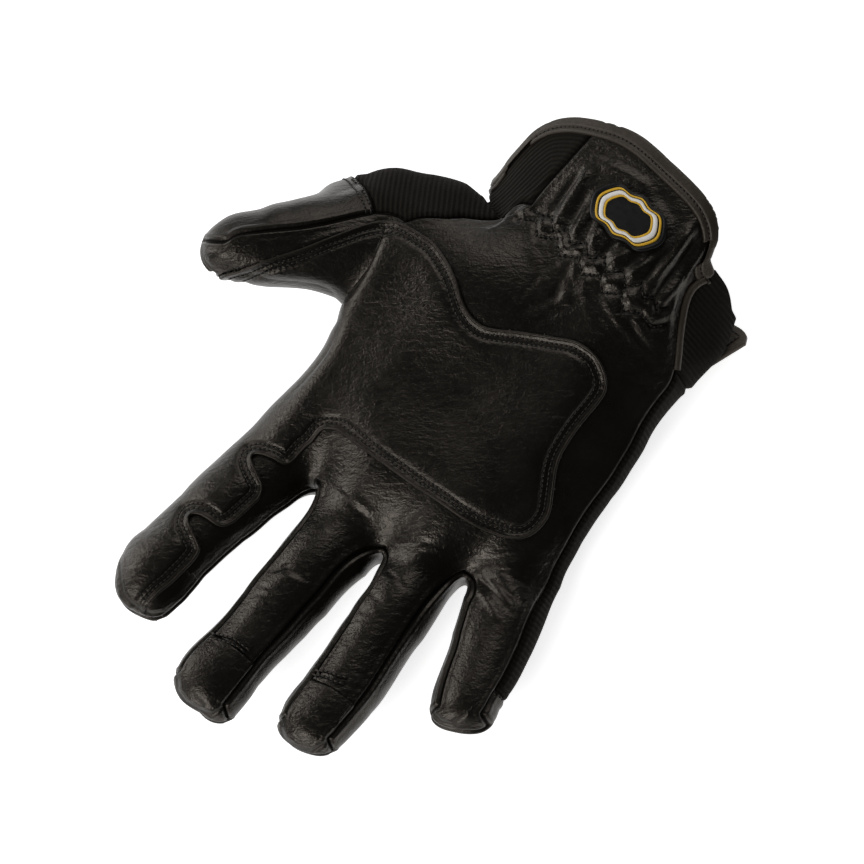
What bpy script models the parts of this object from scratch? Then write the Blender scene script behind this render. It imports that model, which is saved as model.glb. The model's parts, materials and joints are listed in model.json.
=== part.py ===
"""Work glove: a right-hand leather glove, lying on its back with the palm up.

Metres, +Z up. +Y runs from the wrist to the fingertips and +X is the thumb side.
One coarse cage of section rings gives the whole outer form. It is subdivided, and each
leather or knit piece is the panel of it between its seams, thickened to a wall.
"""
import math

import bmesh
import bpy
from mathutils import Vector
from mathutils.bvhtree import BVHTree

# Driving sizes
HAND_BREADTH = 0.100
PALM_LENGTH = 0.100
HAND_DEPTH = 0.040
FINGER_LENGTH = 0.084
FINGER_BREADTH = 0.0250
FINGER_DEPTH = 0.0225
THUMB_LENGTH = 0.060
THUMB_BREADTH = 0.029
LEATHER = 0.0012
KNIT = 0.0014
PATCH_WALL = 0.0016
TIP_PATCH_WALL = 0.0010
BINDING_WIDTH = 0.0050
BINDING_WALL = 0.0024
PIPING = 0.0022
STRAP_WIDTH = 0.0245
STRAP_WALL = 0.0020
BADGE_LENGTH = 0.0280
BADGE_WIDTH = 0.0185
BADGE_WALL = 0.0022
SEAM_GAP = 0.0010
LAYER_GAP = 0.0004

# Palm side of the hand at five columns, from the thumb side to the little finger's side.
# x in hundredths of the breadth, y in hundredths of the palm length, z in hundredths of the depth.
# Bulge lifts the points between the five, where the fingers' roots swell, and corner pushes out
# the point between the first two, where the cuff is round.
PALM_ROWS = (
    # name, thumb side, index and middle, middle and ring, ring and little, outer side, bulge, corner
    ("roots", (48.5, 48, 50), (20.5, 54, 42), (-12, 57, 42), (-37.5, 46, 40), (-60, 30, 34), 18, 0),
    ("pads", (48.5, 31, 60), (22, 37, 66), (-9, 40, 68), (-35, 30, 64), (-57.5, 14, 42), 3, 0),
    ("crotch", (51, 8, 68), (24, 18, 72), (-6, 21, 72), (-32, 13, 70), (-55.5, -3, 44), 0, 0),
    ("hollow", (50, -8, 84), (25, -1, 78), (-4, 2, 72), (-30, -4, 74), (-53, -17, 46), 0, 0),
    ("thenar", (53.5, -30.5, 88), (26, -20, 92), (-3, -17, 80), (-28, -21, 78), (-50.5, -29, 49), 0, 0),
    ("heel", (38.5, -43, 82), (21, -39, 94), (-3, -36, 88), (-27, -37, 84), (-49.5, -40, 52), 0, 0),
    ("wrist", (31, -52.5, 72), (25, -61, 84), (0, -55, 96), (-27, -54, 92), (-49.5, -49, 55), 0, 0),
    ("cuff", (39, -57, 56), (24, -78, 92), (-3, -77, 102), (-25, -76, 98), (-39.5, -67, 67), 0, 3),
    ("edge", (45.5, -67, 48), (23.5, -97.5, 96), (-5, -99.5, 106), (-29, -95.5, 96), (-40, -80.5, 68), 0, 6),
)
# Back of the hand on the same rows: breadth and height of its edge columns, and of the rest.
BACK_ROWS = (
    # share of the top's breadth, edge height and middle height in hundredths of the depth,
    # y of the middle and of the outer side in hundredths of the palm length, or None for the top's
    (0.96, 10, 2, None, None),
    (0.95, 9, -2, None, None),
    (0.94, 9, -2, None, None),
    (0.93, 9, -2, None, None),
    (0.93, 9, -2, None, None),
    (0.93, 10, 0, None, None),
    (0.92, 17, 8.5, None, None),
    (0.92, 17, 7.0, -68, -66),
    (0.93, 18, 9.0, -82, -80),
)
# Height, outward swell and lag of the two side columns, in hundredths of depth, breadth and length.
SIDE_ROWS = (
    # thumb side height, swell, lag toward the wrist, outer side height, swell
    (28, 1.5, 0, 18, 2.0),
    (30, 2.5, 0, 20, 2.0),
    (32, 2.5, 0, 21, 2.0),
    (36, 3.0, 0, 22, 2.0),
    (38, 3.0, 0, 23, 2.0),
    (48, 22.0, 11, 24, 2.0),
    (40, 13.0, 4, 26, 1.5),
    (34, 5.5, 2.5, 27, 11.0),
    (30, 2.5, 0, 27, 9.0),
)

# Fingers: where each leaves the palm, its heading and how it turns, then shares of the named sizes.
FINGERS = (
    # name, x, y, height, heading in degrees, turn, length, breadth, depth, rise in hundredths of depth
    ("index", 36.3, 50, 33, 85.5, 3, 0.92, 1.04, 1.0, 26),
    ("middle", 4.2, 56, 34, 94.5, 0, 1.0, 1.03, 1.0, 26),
    ("ring", -24.8, 52, 33, 100.5, 0, 0.90, 1.02, 0.98, 26),
    ("little", -51.3, 38, 29, 115.5, -4, 0.65, 1.03, 0.92, 26),
)
FINGER_RINGS = (
    # share of the length, of the breadth, of the depth
    (0.16, 1.00, 1.00),
    (0.34, 0.98, 1.00),
    (0.52, 1.00, 0.98),
    (0.70, 1.00, 0.94),
    (0.90, 0.82, 0.74),
)
# Angles of a finger's eight ring points from its thumb side, over the palm side.
FINGER_ANGLES = (42, 90, 138, 180, 222, 270, 318, 0)

THUMB_ROOT = (56.5, -18, 42)
THUMB_HEADING = 41
THUMB_RISE = 48
THUMB_RINGS = (
    # share of the length, of the breadth, of the depth, shift toward the wrist in hundredths of
    # breadth, then how far the ring leans forward on its wrist side and its crotch side
    (0.02, 1.66, 1.24, 8.5, 0.38, 0.75),
    (0.34, 1.22, 1.10, 4.3, 0.10, 0.20),
    (0.56, 1.01, 1.00, 1.8, 0.0, 0.0),
    (0.76, 0.94, 0.90, 0.5, 0.0, 0.0),
    (0.92, 0.70, 0.64, 0.0, 0.0, 0.0),
)
# Angles of the thumb's ten ring points from its wrist side, over the top, starting at the crotch.
THUMB_ANGLES = (150, 118, 86, 50, 15, -20, -60, -100, -140, 180)

# Panels, each cut from the form between its seams
PANELS = (
    "palm_leather", "back_knit", "fourchette_index_middle", "fourchette_middle_ring",
    "fourchette_ring_little", "index_back_tip", "middle_back_tip", "ring_back_tip",
    "little_back_tip", "thumb_palm_leather", "thumb_back_leather", "thumb_knit",
    "cuff_knit_radial", "cuff_knit_back", "cuff_binding",
)
# Parts of the palm leather that a fingertip patch covers
COVERED = ("middle_tip", "ring_tip")
PANEL = {name: index for index, name in enumerate(PANELS + COVERED)}

LAST_COLUMN = 8


def across(share):
    return share * HAND_BREADTH / 100


def along(share):
    return share * PALM_LENGTH / 100


def upward(share):
    return share * HAND_DEPTH / 100


def palm_point(share):
    return Vector((across(share[0]), along(share[1]), upward(share[2])))


def halfway(points, index, bulge):
    """The point between column index and the next one, on a smooth curve through all five."""
    before = points[max(index - 1, 0)]
    after = points[min(index + 2, len(points) - 1)]
    middle = (points[index] + points[index + 1]) * 0.5625 - (before + after) * 0.0625
    middle.z += upward(bulge)
    return middle


def top_columns(row):
    name, *shares, bulge, corner = row
    points = [palm_point(share) for share in shares]
    columns = []
    for index in range(4):
        columns += [points[index], halfway(points, index, bulge)]
    columns[1] += Vector((across(corner), along(-corner), 0.0))
    return columns + [points[4]]


def palm_ring(row, back, side):
    """Twenty points round the hand: nine over the palm, the outer side, nine under, the thumb side."""
    top = top_columns(row)
    narrow, edge_height, height, back_middle, back_outer = back
    thumb_height, thumb_swell, thumb_lag, outer_height, outer_swell = side
    centre = (top[0].x + top[LAST_COLUMN].x) / 2
    under = []
    for column, point in enumerate(top):
        low = Vector((centre + (point.x - centre) * narrow, point.y, upward(height)))
        if column in (0, LAST_COLUMN):
            low.z = upward(edge_height)
        if back_middle is not None and column > 1:
            outward = max(0.0, column - 4) / 4
            low.y = along(back_middle + (back_outer - back_middle) * outward)
        under.append(low)
    outer = (top[LAST_COLUMN] + under[LAST_COLUMN]) / 2
    outer.x = top[LAST_COLUMN].x - across(outer_swell)
    outer.z = upward(outer_height)
    thumb = (top[0] + under[0]) / 2
    thumb.x = top[0].x + across(thumb_swell)
    thumb.y -= along(thumb_lag)
    thumb.z = upward(thumb_height)
    return top + [outer] + under[::-1] + [thumb]


def tube_ring(centre, heading, angles, breadth, depth, slope=0.0):
    """A ring of points square to a plan heading, at the given angles from its right-hand side."""
    forward = Vector((math.cos(heading) * math.cos(slope), math.sin(heading) * math.cos(slope),
                      math.sin(slope)))
    side = Vector((math.sin(heading), -math.cos(heading), 0.0))
    normal = side.cross(forward)
    ring = []
    for angle in angles:
        turn = math.radians(angle)
        ring.append(centre + side * (math.cos(turn) * breadth / 2) + normal * (math.sin(turn) * depth / 2))
    return ring


def finger_rings(finger):
    """Five rings along a finger and the point of its tip."""
    name, x, y, height, heading, turn, length, breadth, depth, rise = finger
    root = palm_point((x, y, height))
    reach = FINGER_LENGTH * length
    rings = []
    place = root.copy()
    done = 0.0
    for share, ring_breadth, ring_depth in FINGER_RINGS + ((1.0, 0, 0),):
        way = math.radians(heading + turn * (share + done) / 2)
        place = place + Vector((math.cos(way), math.sin(way), 0.0)) * (reach * (share - done))
        place.z = root.z + upward(rise) * share ** 1.4
        slope = math.atan2(upward(rise) * 1.4 * share ** 0.4, reach)
        done = share
        if ring_breadth == 0:
            return rings, place
        rings.append(tube_ring(place, way, FINGER_ANGLES, FINGER_BREADTH * breadth * ring_breadth,
                               FINGER_DEPTH * depth * ring_depth, slope))


def thumb_rings():
    root = palm_point(THUMB_ROOT)
    heading = math.radians(THUMB_HEADING)
    forward = Vector((math.cos(heading), math.sin(heading), 0.0))
    wrist_side = Vector((math.sin(heading), -math.cos(heading), 0.0))
    slope = math.atan2(upward(THUMB_RISE), THUMB_LENGTH)
    rings = []
    for share, breadth, depth, shift, wrist_lean, crotch_lean in THUMB_RINGS:
        centre = root + forward * (THUMB_LENGTH * share) + wrist_side * across(shift)
        centre.z = root.z + upward(THUMB_RISE) * share
        ring = tube_ring(centre, heading, THUMB_ANGLES, THUMB_BREADTH * breadth,
                         THUMB_BREADTH * depth, slope)
        for point in ring:
            aside = (point - root).dot(wrist_side)
            lean = wrist_lean if aside > 0 else crotch_lean
            point += forward * (abs(aside) * lean)
        rings.append(ring)
    tip = root + forward * THUMB_LENGTH
    tip.z = root.z + upward(THUMB_RISE)
    return rings, tip, wrist_side


class Cage:
    """The coarse form: vertices by place, faces tagged with their panel."""

    def __init__(self):
        self.mesh = bmesh.new()

    def ring(self, points):
        return [self.mesh.verts.new(point) for point in points]

    def face(self, corners, panel):
        face = self.mesh.faces.new(corners)
        face.material_index = PANEL[panel]
        face.smooth = True

    def band(self, near, far, panels):
        """Quads between two rings of equal count; a None panel leaves a hole."""
        count = len(near)
        for index, panel in enumerate(panels):
            after = (index + 1) % count
            if panel is not None:
                self.face((near[index], near[after], far[after], far[index]), panel)


def palm_band_panels(row):
    """The panel of each of the twenty faces between two palm rings."""
    if row <= 5:
        top = ["palm_leather"] * 8
        under = ["back_knit"] * 10
        if row <= 1:
            thumb_side = ["back_knit", "palm_leather"]
        elif row <= 4:
            thumb_side = [None, None]
        else:
            thumb_side = ["thumb_knit", "thumb_knit"]
    elif row <= 7:
        top = ["cuff_knit_radial"] * 2 + ["palm_leather"] * 6
        under = ["cuff_knit_back"] * 10
        thumb_side = ["cuff_knit_radial", "cuff_knit_radial"]
    else:
        top = ["cuff_binding"] * 8
        under = ["cuff_knit_back"] * 2 + ["cuff_binding"] * 8
        thumb_side = ["cuff_binding", "cuff_binding"]
    return top + under + thumb_side


FOURCHETTES = ("fourchette_index_middle", "fourchette_middle_ring", "fourchette_ring_little")


def covered_tip(finger):
    """The name of the palm leather's faces at a finger's tip."""
    name = FINGERS[finger][0] + "_tip"
    return name if name in COVERED else "palm_leather"


def finger_band_panels(finger, band):
    """The panel of each of a finger's eight faces, from its palm side toward the little finger."""
    tip = FINGERS[finger][0] + "_back_tip"
    back = tip if band >= 4 else "back_knit"
    thumb_wall = "palm_leather" if finger == 0 else FOURCHETTES[finger - 1]
    outer_wall = "back_knit" if finger == 3 else FOURCHETTES[finger]
    thumb_low = "back_knit" if finger == 0 else thumb_wall
    outer_low = outer_wall
    if band >= 5:
        thumb_wall = "palm_leather"
        outer_wall = "palm_leather"
        thumb_low = back
        outer_low = back
    elif band == 4:
        thumb_low = back if finger == 0 else thumb_low
        outer_wall = back if finger == 3 else outer_wall
        outer_low = back if finger == 3 else outer_low
    palm = covered_tip(finger) if band >= 4 else "palm_leather"
    return [palm, palm, outer_wall, outer_low, back, back, thumb_low, thumb_wall]


def add_fingers(cage, rings):
    roots = rings[0]
    walls = [roots[19]]
    for column in (2, 4, 6):
        top = roots[column].co
        under = roots[18 - column].co
        wall = (top + under) / 2
        wall.y = top.y + along(1.0)
        walls.append(cage.mesh.verts.new(wall))
    walls.append(roots[9])
    for index, finger in enumerate(FINGERS):
        first = 2 * index
        last = first + 2
        near = roots[first:last + 1] + [walls[index + 1]] + [
            roots[18 - last], roots[18 - last + 1], roots[18 - first], walls[index]]
        points, tip_point = finger_rings(finger)
        for band, ring_points in enumerate(points):
            far = cage.ring(ring_points)
            cage.band(near, far, finger_band_panels(index, band))
            near = far
        tip = cage.mesh.verts.new(tip_point)
        back = finger[0] + "_back_tip"
        cage.face((near[0], near[1], tip, near[7]), covered_tip(index))
        cage.face((near[1], near[2], near[3], tip), covered_tip(index))
        cage.face((tip, near[3], near[4], near[5]), back)
        cage.face((near[7], tip, near[5], near[6]), back)


def thumb_band_panels(band):
    back = "thumb_knit" if band < 1 else "thumb_back_leather"
    palm = "thumb_palm_leather"
    return [palm, palm, back, back, back, back, back, back, palm, palm]


def add_thumb(cage, rings):
    near = [rings[row][0] for row in (2, 3, 4, 5)] + [rings[5][19]]
    near += [rings[row][18] for row in (5, 4, 3, 2)] + [rings[2][19]]
    points, tip, wrist_side = thumb_rings()
    for band, ring_points in enumerate(points):
        far = cage.ring(ring_points)
        cage.band(near, far, thumb_band_panels(band))
        near = far
    spread = THUMB_BREADTH * 0.13
    outer = cage.mesh.verts.new(tip - wrist_side * spread)
    inner = cage.mesh.verts.new(tip + wrist_side * spread)
    cage.face((near[0], near[1], outer, near[9]), "thumb_palm_leather")
    cage.face((near[1], near[2], inner, outer), "thumb_palm_leather")
    cage.face((near[2], near[3], near[4], inner), "thumb_back_leather")
    cage.face((near[9], outer, near[7], near[8]), "thumb_back_leather")
    cage.face((outer, inner, near[6], near[7]), "thumb_back_leather")
    cage.face((inner, near[4], near[5], near[6]), "thumb_back_leather")


def binding_ring(cuff, edge):
    """The ring one binding width inside the cuff's edge."""
    ring = []
    for inside, outside in zip(cuff, edge):
        way = inside - outside
        ring.append(outside + way * min(0.8, BINDING_WIDTH / way.length))
    return ring


def make_cage():
    cage = Cage()
    points = [palm_ring(row, back, side) for row, back, side in zip(PALM_ROWS, BACK_ROWS, SIDE_ROWS)]
    points.insert(8, binding_ring(points[7], points[8]))
    rings = [cage.ring(ring) for ring in points]
    for row in range(len(rings) - 1):
        cage.band(rings[row], rings[row + 1], palm_band_panels(row))
    add_fingers(cage, rings)
    add_thumb(cage, rings)
    bmesh.ops.recalc_face_normals(cage.mesh, faces=cage.mesh.faces[:])
    return cage.mesh


def subdivided(mesh, levels):
    """The mesh after Catmull-Clark subdivision; its first vertices are the cage's own."""
    holder = bpy.data.objects.new("form", mesh)
    bpy.context.scene.collection.objects.link(holder)
    modifier = holder.modifiers.new("smooth", "SUBSURF")
    modifier.levels = levels
    modifier.render_levels = levels
    bpy.context.view_layer.update()
    evaluated = holder.evaluated_get(bpy.context.evaluated_depsgraph_get())
    result = bpy.data.meshes.new_from_object(evaluated)
    bpy.data.objects.remove(holder)
    return result


def make_form(levels):
    """The smooth form, its cage pushed out until it passes through the tables' points."""
    cage = make_cage()
    mesh = bpy.data.meshes.new("cage")
    cage.to_mesh(mesh)
    cage.free()
    targets = [vertex.co.copy() for vertex in mesh.vertices]
    for step in range(4):
        smooth = subdivided(mesh, 2)
        for vertex, target in zip(mesh.vertices, targets):
            vertex.co += (target - smooth.vertices[vertex.index].co) * 0.8
        bpy.data.meshes.remove(smooth)
    form = subdivided(mesh, levels)
    bpy.data.meshes.remove(mesh)
    halves = bmesh.new()
    halves.from_mesh(form)
    bmesh.ops.triangulate(halves, faces=halves.faces[:], quad_method="SHORT_EDGE")
    halves.to_mesh(form)
    halves.free()
    return form


MATERIALS = {
    # name: colour, roughness
    "palm_leather": ((0.020, 0.018, 0.016), 0.45),
    "knit": ((0.012, 0.011, 0.010), 0.90),
    "back_leather": ((0.024, 0.022, 0.019), 0.42),
    "patch_leather": ((0.016, 0.014, 0.012), 0.50),
    "binding_leather": ((0.030, 0.027, 0.024), 0.48),
    "badge_rubber": ((0.010, 0.010, 0.010), 0.55),
}


def material_for(piece, finish):
    colour, roughness = MATERIALS[finish]
    material = bpy.data.materials.new(piece + "_" + finish)
    material.use_nodes = True
    shader = material.node_tree.nodes["Principled BSDF"]
    shader.inputs["Base Color"].default_value = (*colour, 1.0)
    shader.inputs["Roughness"].default_value = roughness
    shader.inputs["Metallic"].default_value = 0.0
    return material


def add_object(collection, name, mesh, finish):
    mesh.materials.clear()
    mesh.materials.append(material_for(name, finish))
    piece = bpy.data.objects.new(name, mesh)
    collection.objects.link(piece)
    return piece


def open_seams(mesh, gap):
    """Draw the border of an open panel inward by the gap."""
    moves = {}
    for vertex in mesh.verts:
        if not vertex.is_boundary:
            continue
        inner = [edge.other_vert(vertex) for edge in vertex.link_edges if not edge.is_boundary]
        if inner:
            way = sum((other.co for other in inner), Vector()) / len(inner) - vertex.co
        else:
            centres = [face.calc_center_median() for face in vertex.link_faces]
            way = sum(centres, Vector()) / len(centres) - vertex.co
        moves[vertex] = way.normalized() * gap
    for vertex, move in moves.items():
        vertex.co += move


def panel_mesh(form, names, keep=None):
    """The form's faces of the named panels, as an open mesh."""
    wanted = {PANEL[name] for name in names}
    mesh = bmesh.new()
    mesh.from_mesh(form)
    dropped = [face for face in mesh.faces if face.material_index not in wanted or (keep and not keep(face))]
    bmesh.ops.delete(mesh, geom=dropped, context="FACES")
    loose = [vertex for vertex in mesh.verts if not vertex.link_faces]
    bmesh.ops.delete(mesh, geom=loose, context="VERTS")
    for face in mesh.faces:
        face.material_index = 0
    return mesh


def press_flat(mesh, height):
    """Flatten what would lie below the height where the glove rests."""
    for vertex in mesh.verts:
        vertex.co.z = max(vertex.co.z, height)


def thicken(piece, wall, side=-1.0):
    """Give an open mesh its wall, inward at side -1 or outward at side 1."""
    solidify = piece.modifiers.new("wall", "SOLIDIFY")
    solidify.thickness = wall
    solidify.offset = side


PANEL_FINISH = {
    "palm_leather": ("palm_leather", LEATHER),
    "back_knit": ("knit", KNIT),
    "fourchette_index_middle": ("back_leather", LEATHER),
    "fourchette_middle_ring": ("back_leather", LEATHER),
    "fourchette_ring_little": ("back_leather", LEATHER),
    "index_back_tip": ("back_leather", LEATHER),
    "middle_back_tip": ("back_leather", LEATHER),
    "ring_back_tip": ("back_leather", LEATHER),
    "little_back_tip": ("back_leather", LEATHER),
    "thumb_palm_leather": ("palm_leather", LEATHER),
    "thumb_back_leather": ("back_leather", LEATHER),
    "thumb_knit": ("knit", KNIT),
    "cuff_knit_radial": ("knit", KNIT),
    "cuff_knit_back": ("knit", KNIT),
    "cuff_binding": ("binding_leather", BINDING_WALL),
}
# Panels whose borders turn a sharp corner stand a little further back from their neighbours
WIDE_SEAMS = {"thumb_palm_leather": 1.7, "cuff_knit_back": 1.4, "thumb_knit": 0.7}
# How far the cuff's knit drops under the leather's free edge at the vent, and where that is,
# as a height in hundredths of the depth and a place in hundredths of the breadth
VENT_DROP = 0.0042
VENT_HEIGHT = 56
VENT_INSIDE = -28


def tuck_under_vent(mesh):
    """Lower the knit's edge beside the vent, so that the leather's edge lies over it."""
    for vertex in mesh.verts:
        high = vertex.co.z > upward(VENT_HEIGHT)
        if vertex.is_boundary and high and vertex.co.x < across(VENT_INSIDE):
            vertex.co.z -= VENT_DROP
            vertex.co.x += VENT_DROP * 0.3


def swell(mesh, distance):
    """Move an open mesh outward along its normals."""
    mesh.normal_update()
    moved = [(vertex, vertex.normal * distance) for vertex in mesh.verts]
    for vertex, move in moved:
        vertex.co += move


def finished(mesh, name):
    data = bpy.data.meshes.new(name)
    mesh.to_mesh(data)
    mesh.free()
    return data


def add_panels(collection, form):
    for name in PANELS:
        finish, wall = PANEL_FINISH[name]
        names = (name,) + COVERED if name == "palm_leather" else (name,)
        mesh = panel_mesh(form, names)
        open_seams(mesh, SEAM_GAP * WIDE_SEAMS.get(name, 1.0))
        if name == "cuff_knit_back":
            tuck_under_vent(mesh)
        if name == "cuff_binding":
            swell(mesh, (BINDING_WALL - LEATHER) / 2)
        press_flat(mesh, 0.0)
        thicken(add_object(collection, name, finished(mesh, name), finish), wall)


def add_tip_patches(collection, form):
    """A second layer over the middle and ring fingertips."""
    for name in COVERED:
        mesh = panel_mesh(form, [name])
        open_seams(mesh, SEAM_GAP + TIP_PATCH_WALL)
        swell(mesh, LAYER_GAP)
        piece = name + "_patch"
        thicken(add_object(collection, piece, finished(mesh, piece), "patch_leather"), TIP_PATCH_WALL, 1.0)


def smooth_outline(points, steps):
    """A closed Catmull-Rom curve through plan points."""
    count = len(points)
    curve = []
    for index in range(count):
        before, start, end, after = (Vector(points[(index + shift) % count]) for shift in (-1, 0, 1, 2))
        for step in range(steps):
            t = step / steps
            curve.append(start + ((end - before) * t + (before * 2 - start * 5 + end * 4 - after) * t ** 2
                                  + (start * 3 - before - end * 3 + after) * t ** 3) / 2)
    return curve


# The palm patch's edge in plan, in hundredths of the breadth and the palm length, read along the
# direction that the patch faces. It runs from the thumb round the palm to the index fingertip, and
# closes well outside the thumb side, where the leather's own seams bound the patch.
PATCH_FACES = (-0.309, 0.139, 0.941)
PATCH_LEVEL = 80
PATCH_EDGE = (
    # along the thumb and round its root
    (92, 28), (86.5, 19), (81.5, 11.3), (76.5, 1.3), (68.7, -14), (61.8, -24), (57.5, -29.2),
    (51, -30.6), (42.8, -29.6), (36, -28.5), (28, -25.5), (20.7, -20.9), (14.7, -18.6), (7.8, -18.6),
    # the heel of the hand and its outer side
    (1.2, -22), (-10.4, -29.1), (-18.4, -33.3), (-25.9, -34.6), (-32.4, -32.8), (-36.2, -28.5),
    (-37.6, -22), (-38, -12.8), (-38.8, -5.3), (-41, 0), (-46.6, 7.5), (-51, 15.4), (-52.2, 22.2),
    # below the fingers' roots
    (-49.6, 28.4), (-44.7, 31.2), (-33.5, 33.1), (-22.6, 34.6), (-11.9, 36), (-0.5, 37), (11.4, 38.2),
    (19.6, 38.4), (24.2, 40.4), (25.6, 45),
    # the wavy edge along the index finger
    (25.6, 50), (26.8, 55.3), (30, 59), (34.5, 60.6), (37.4, 62.6), (36.9, 65.6), (34, 67.4),
    (29.6, 69), (27.4, 71.8), (26.8, 76.5), (27.8, 84), (31, 87.4), (35, 88.2), (38.6, 89),
    (39, 91.6), (35.9, 93.8), (32.3, 95.6), (30.2, 98.6), (29.4, 104.5), (29.2, 112), (28.6, 118.6),
    # outside the glove
    (28, 124), (29, 136), (60, 136), (66, 80), (72, 40), (88, 40),
)


def add_palm_patch(collection, cutters, form):
    """The padded second layer: an offset copy of the palm leather, cut to the patch's edge."""
    mesh = panel_mesh(form, ["palm_leather", "thumb_palm_leather"])
    open_seams(mesh, SEAM_GAP * 2)
    swell(mesh, LAYER_GAP)
    patch = add_object(collection, "palm_patch", finished(mesh, "palm_patch"), "patch_leather")
    thicken(patch, PATCH_WALL, 1.0)
    facing = Vector(PATCH_FACES).normalized()
    outline = [Vector((across(x), along(y), upward(PATCH_LEVEL))) for x, y in smooth_outline(PATCH_EDGE, 2)]
    prism = bmesh.new()
    base = prism.faces.new([prism.verts.new(point - facing * HAND_DEPTH * 2) for point in outline])
    grown = bmesh.ops.extrude_face_region(prism, geom=[base])
    for item in grown["geom"]:
        if isinstance(item, bmesh.types.BMVert):
            item.co += facing * HAND_DEPTH * 4
    bmesh.ops.recalc_face_normals(prism, faces=prism.faces[:])
    cutter = bpy.data.objects.new("palm_patch_cutter", finished(prism, "palm_patch_cutter"))
    cutters.objects.link(cutter)
    cutter.display_type = "WIRE"
    cutter.hide_render = True
    cut = patch.modifiers.new("outline", "BOOLEAN")
    cut.operation = "INTERSECT"
    cut.solver = "EXACT"
    cut.object = cutter


# The place of the outer side in a row of the palm table, and the x beyond which the vent's edge lies
VENT_ROW_SIDE = 5
VENT_OUTSIDE = -35


def add_vent_piping(collection, form):
    """A narrow leather roll along the cuff leather's free edge beside the knit."""
    mesh = panel_mesh(form, ["palm_leather"])
    wrist = along(PALM_ROWS[6][VENT_ROW_SIDE][1]) - PIPING
    cuff = along(PALM_ROWS[8][VENT_ROW_SIDE][1]) + BINDING_WIDTH + PIPING
    edge = [vertex.co.copy() for vertex in mesh.verts
            if vertex.is_boundary and vertex.co.x < across(VENT_OUTSIDE) and cuff < vertex.co.y < wrist]
    mesh.free()
    edge.sort(key=lambda point: point.y)
    outward = PIPING / 2 - SEAM_GAP + LAYER_GAP * 2
    curve = bpy.data.curves.new("vent_piping", "CURVE")
    curve.dimensions = "3D"
    curve.bevel_depth = PIPING / 2
    curve.bevel_resolution = 1
    curve.resolution_u = 2
    curve.use_fill_caps = True
    spline = curve.splines.new("BEZIER")
    spline.bezier_points.add(len(edge) - 1)
    for place, point in zip(spline.bezier_points, edge):
        place.co = point + Vector((-outward, 0.0, 0.0))
        place.handle_left_type = "AUTO"
        place.handle_right_type = "AUTO"
    piece = bpy.data.objects.new("vent_piping", curve)
    curve.materials.append(material_for("vent_piping", "binding_leather"))
    collection.objects.link(piece)


BADGE_PLACE = (-6.6, -75)
# Shield outline in plan, as shares of the badge's half length and half width
BADGE_EDGE = (
    (1.00, 0.15), (0.72, 0.78), (0.30, 0.84), (0.00, 1.00), (-0.30, 0.84), (-0.72, 0.78),
    (-1.00, 0.15), (-0.86, -0.45), (-0.55, -0.86), (0.00, -1.00), (0.55, -0.86), (0.86, -0.45),
)


def surface_tree(form, names):
    mesh = panel_mesh(form, names)
    tree = BVHTree.FromBMesh(mesh)
    mesh.free()
    return tree


def add_badge(collection, form):
    """A shield plate that follows the cuff leather under it."""
    tree = surface_tree(form, ["palm_leather"])
    centre = palm_point(BADGE_PLACE + (0,))
    mesh = bmesh.new()
    corners = [centre + Vector((x * BADGE_LENGTH / 2, y * BADGE_WIDTH / 2, 0.0)) for x, y in BADGE_EDGE]
    border = [mesh.verts.new(point) for point in corners]
    middle = [mesh.verts.new(centre.lerp(point, 0.5)) for point in corners]
    hub = mesh.verts.new(centre)
    for index in range(len(border)):
        after = (index + 1) % len(border)
        mesh.faces.new((border[index], border[after], middle[after], middle[index]))
        mesh.faces.new((middle[index], middle[after], hub))
    for vertex in mesh.verts:
        hit = tree.ray_cast(vertex.co + Vector((0, 0, HAND_DEPTH * 3)), Vector((0, 0, -1)))[0]
        vertex.co.z = hit.z + LAYER_GAP + BADGE_WALL
    bmesh.ops.recalc_face_normals(mesh, faces=mesh.faces[:])
    if mesh.faces[0].normal.z < 0:
        bmesh.ops.reverse_faces(mesh, faces=mesh.faces[:])
    thicken(add_object(collection, "badge", finished(mesh, "badge"), "badge_rubber"), BADGE_WALL)


# The strap across the back of the wrist: its sewn end, its free end, where it starts to rise, and
# how far its free end slants and rises
STRAP_SEWN = 24
STRAP_FREE = -54.5
STRAP_LIFTS = -40
STRAP_SLANT = 6
STRAP_PLACE = -66
STRAP_RISE = 0.0065


def add_closure_strap(collection):
    mesh = bmesh.new()
    bmesh.ops.create_grid(mesh, x_segments=12, y_segments=4, size=0.5)
    for vertex in mesh.verts:
        share = vertex.co.x + 0.5
        x = across(STRAP_SEWN + (STRAP_FREE - STRAP_SEWN) * share)
        y = along(STRAP_PLACE) - vertex.co.y * STRAP_WIDTH
        rise = max(0.0, (across(STRAP_LIFTS) - x) / across(STRAP_LIFTS - STRAP_FREE)) ** 1.6
        slant = vertex.co.y * across(STRAP_SLANT) * share ** 6
        vertex.co = Vector((x - slant, y, STRAP_WALL + STRAP_RISE * rise))
    bmesh.ops.recalc_face_normals(mesh, faces=mesh.faces[:])
    if mesh.faces[0].normal.z < 0:
        bmesh.ops.reverse_faces(mesh, faces=mesh.faces[:])
    thicken(add_object(collection, "closure_strap", finished(mesh, "closure_strap"), "back_leather"),
            STRAP_WALL)


def main():
    for old in list(bpy.data.objects):
        bpy.data.objects.remove(old)
    collection = bpy.data.collections.new("work_glove")
    bpy.context.scene.collection.children.link(collection)
    cutters = bpy.data.collections.new("cutters")
    bpy.context.scene.collection.children.link(cutters)
    form = make_form(1)
    add_panels(collection, form)
    add_tip_patches(collection, form)
    add_palm_patch(collection, cutters, form)
    add_vent_piping(collection, form)
    add_badge(collection, form)
    add_closure_strap(collection)
    bpy.data.meshes.remove(form)


main()
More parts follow.
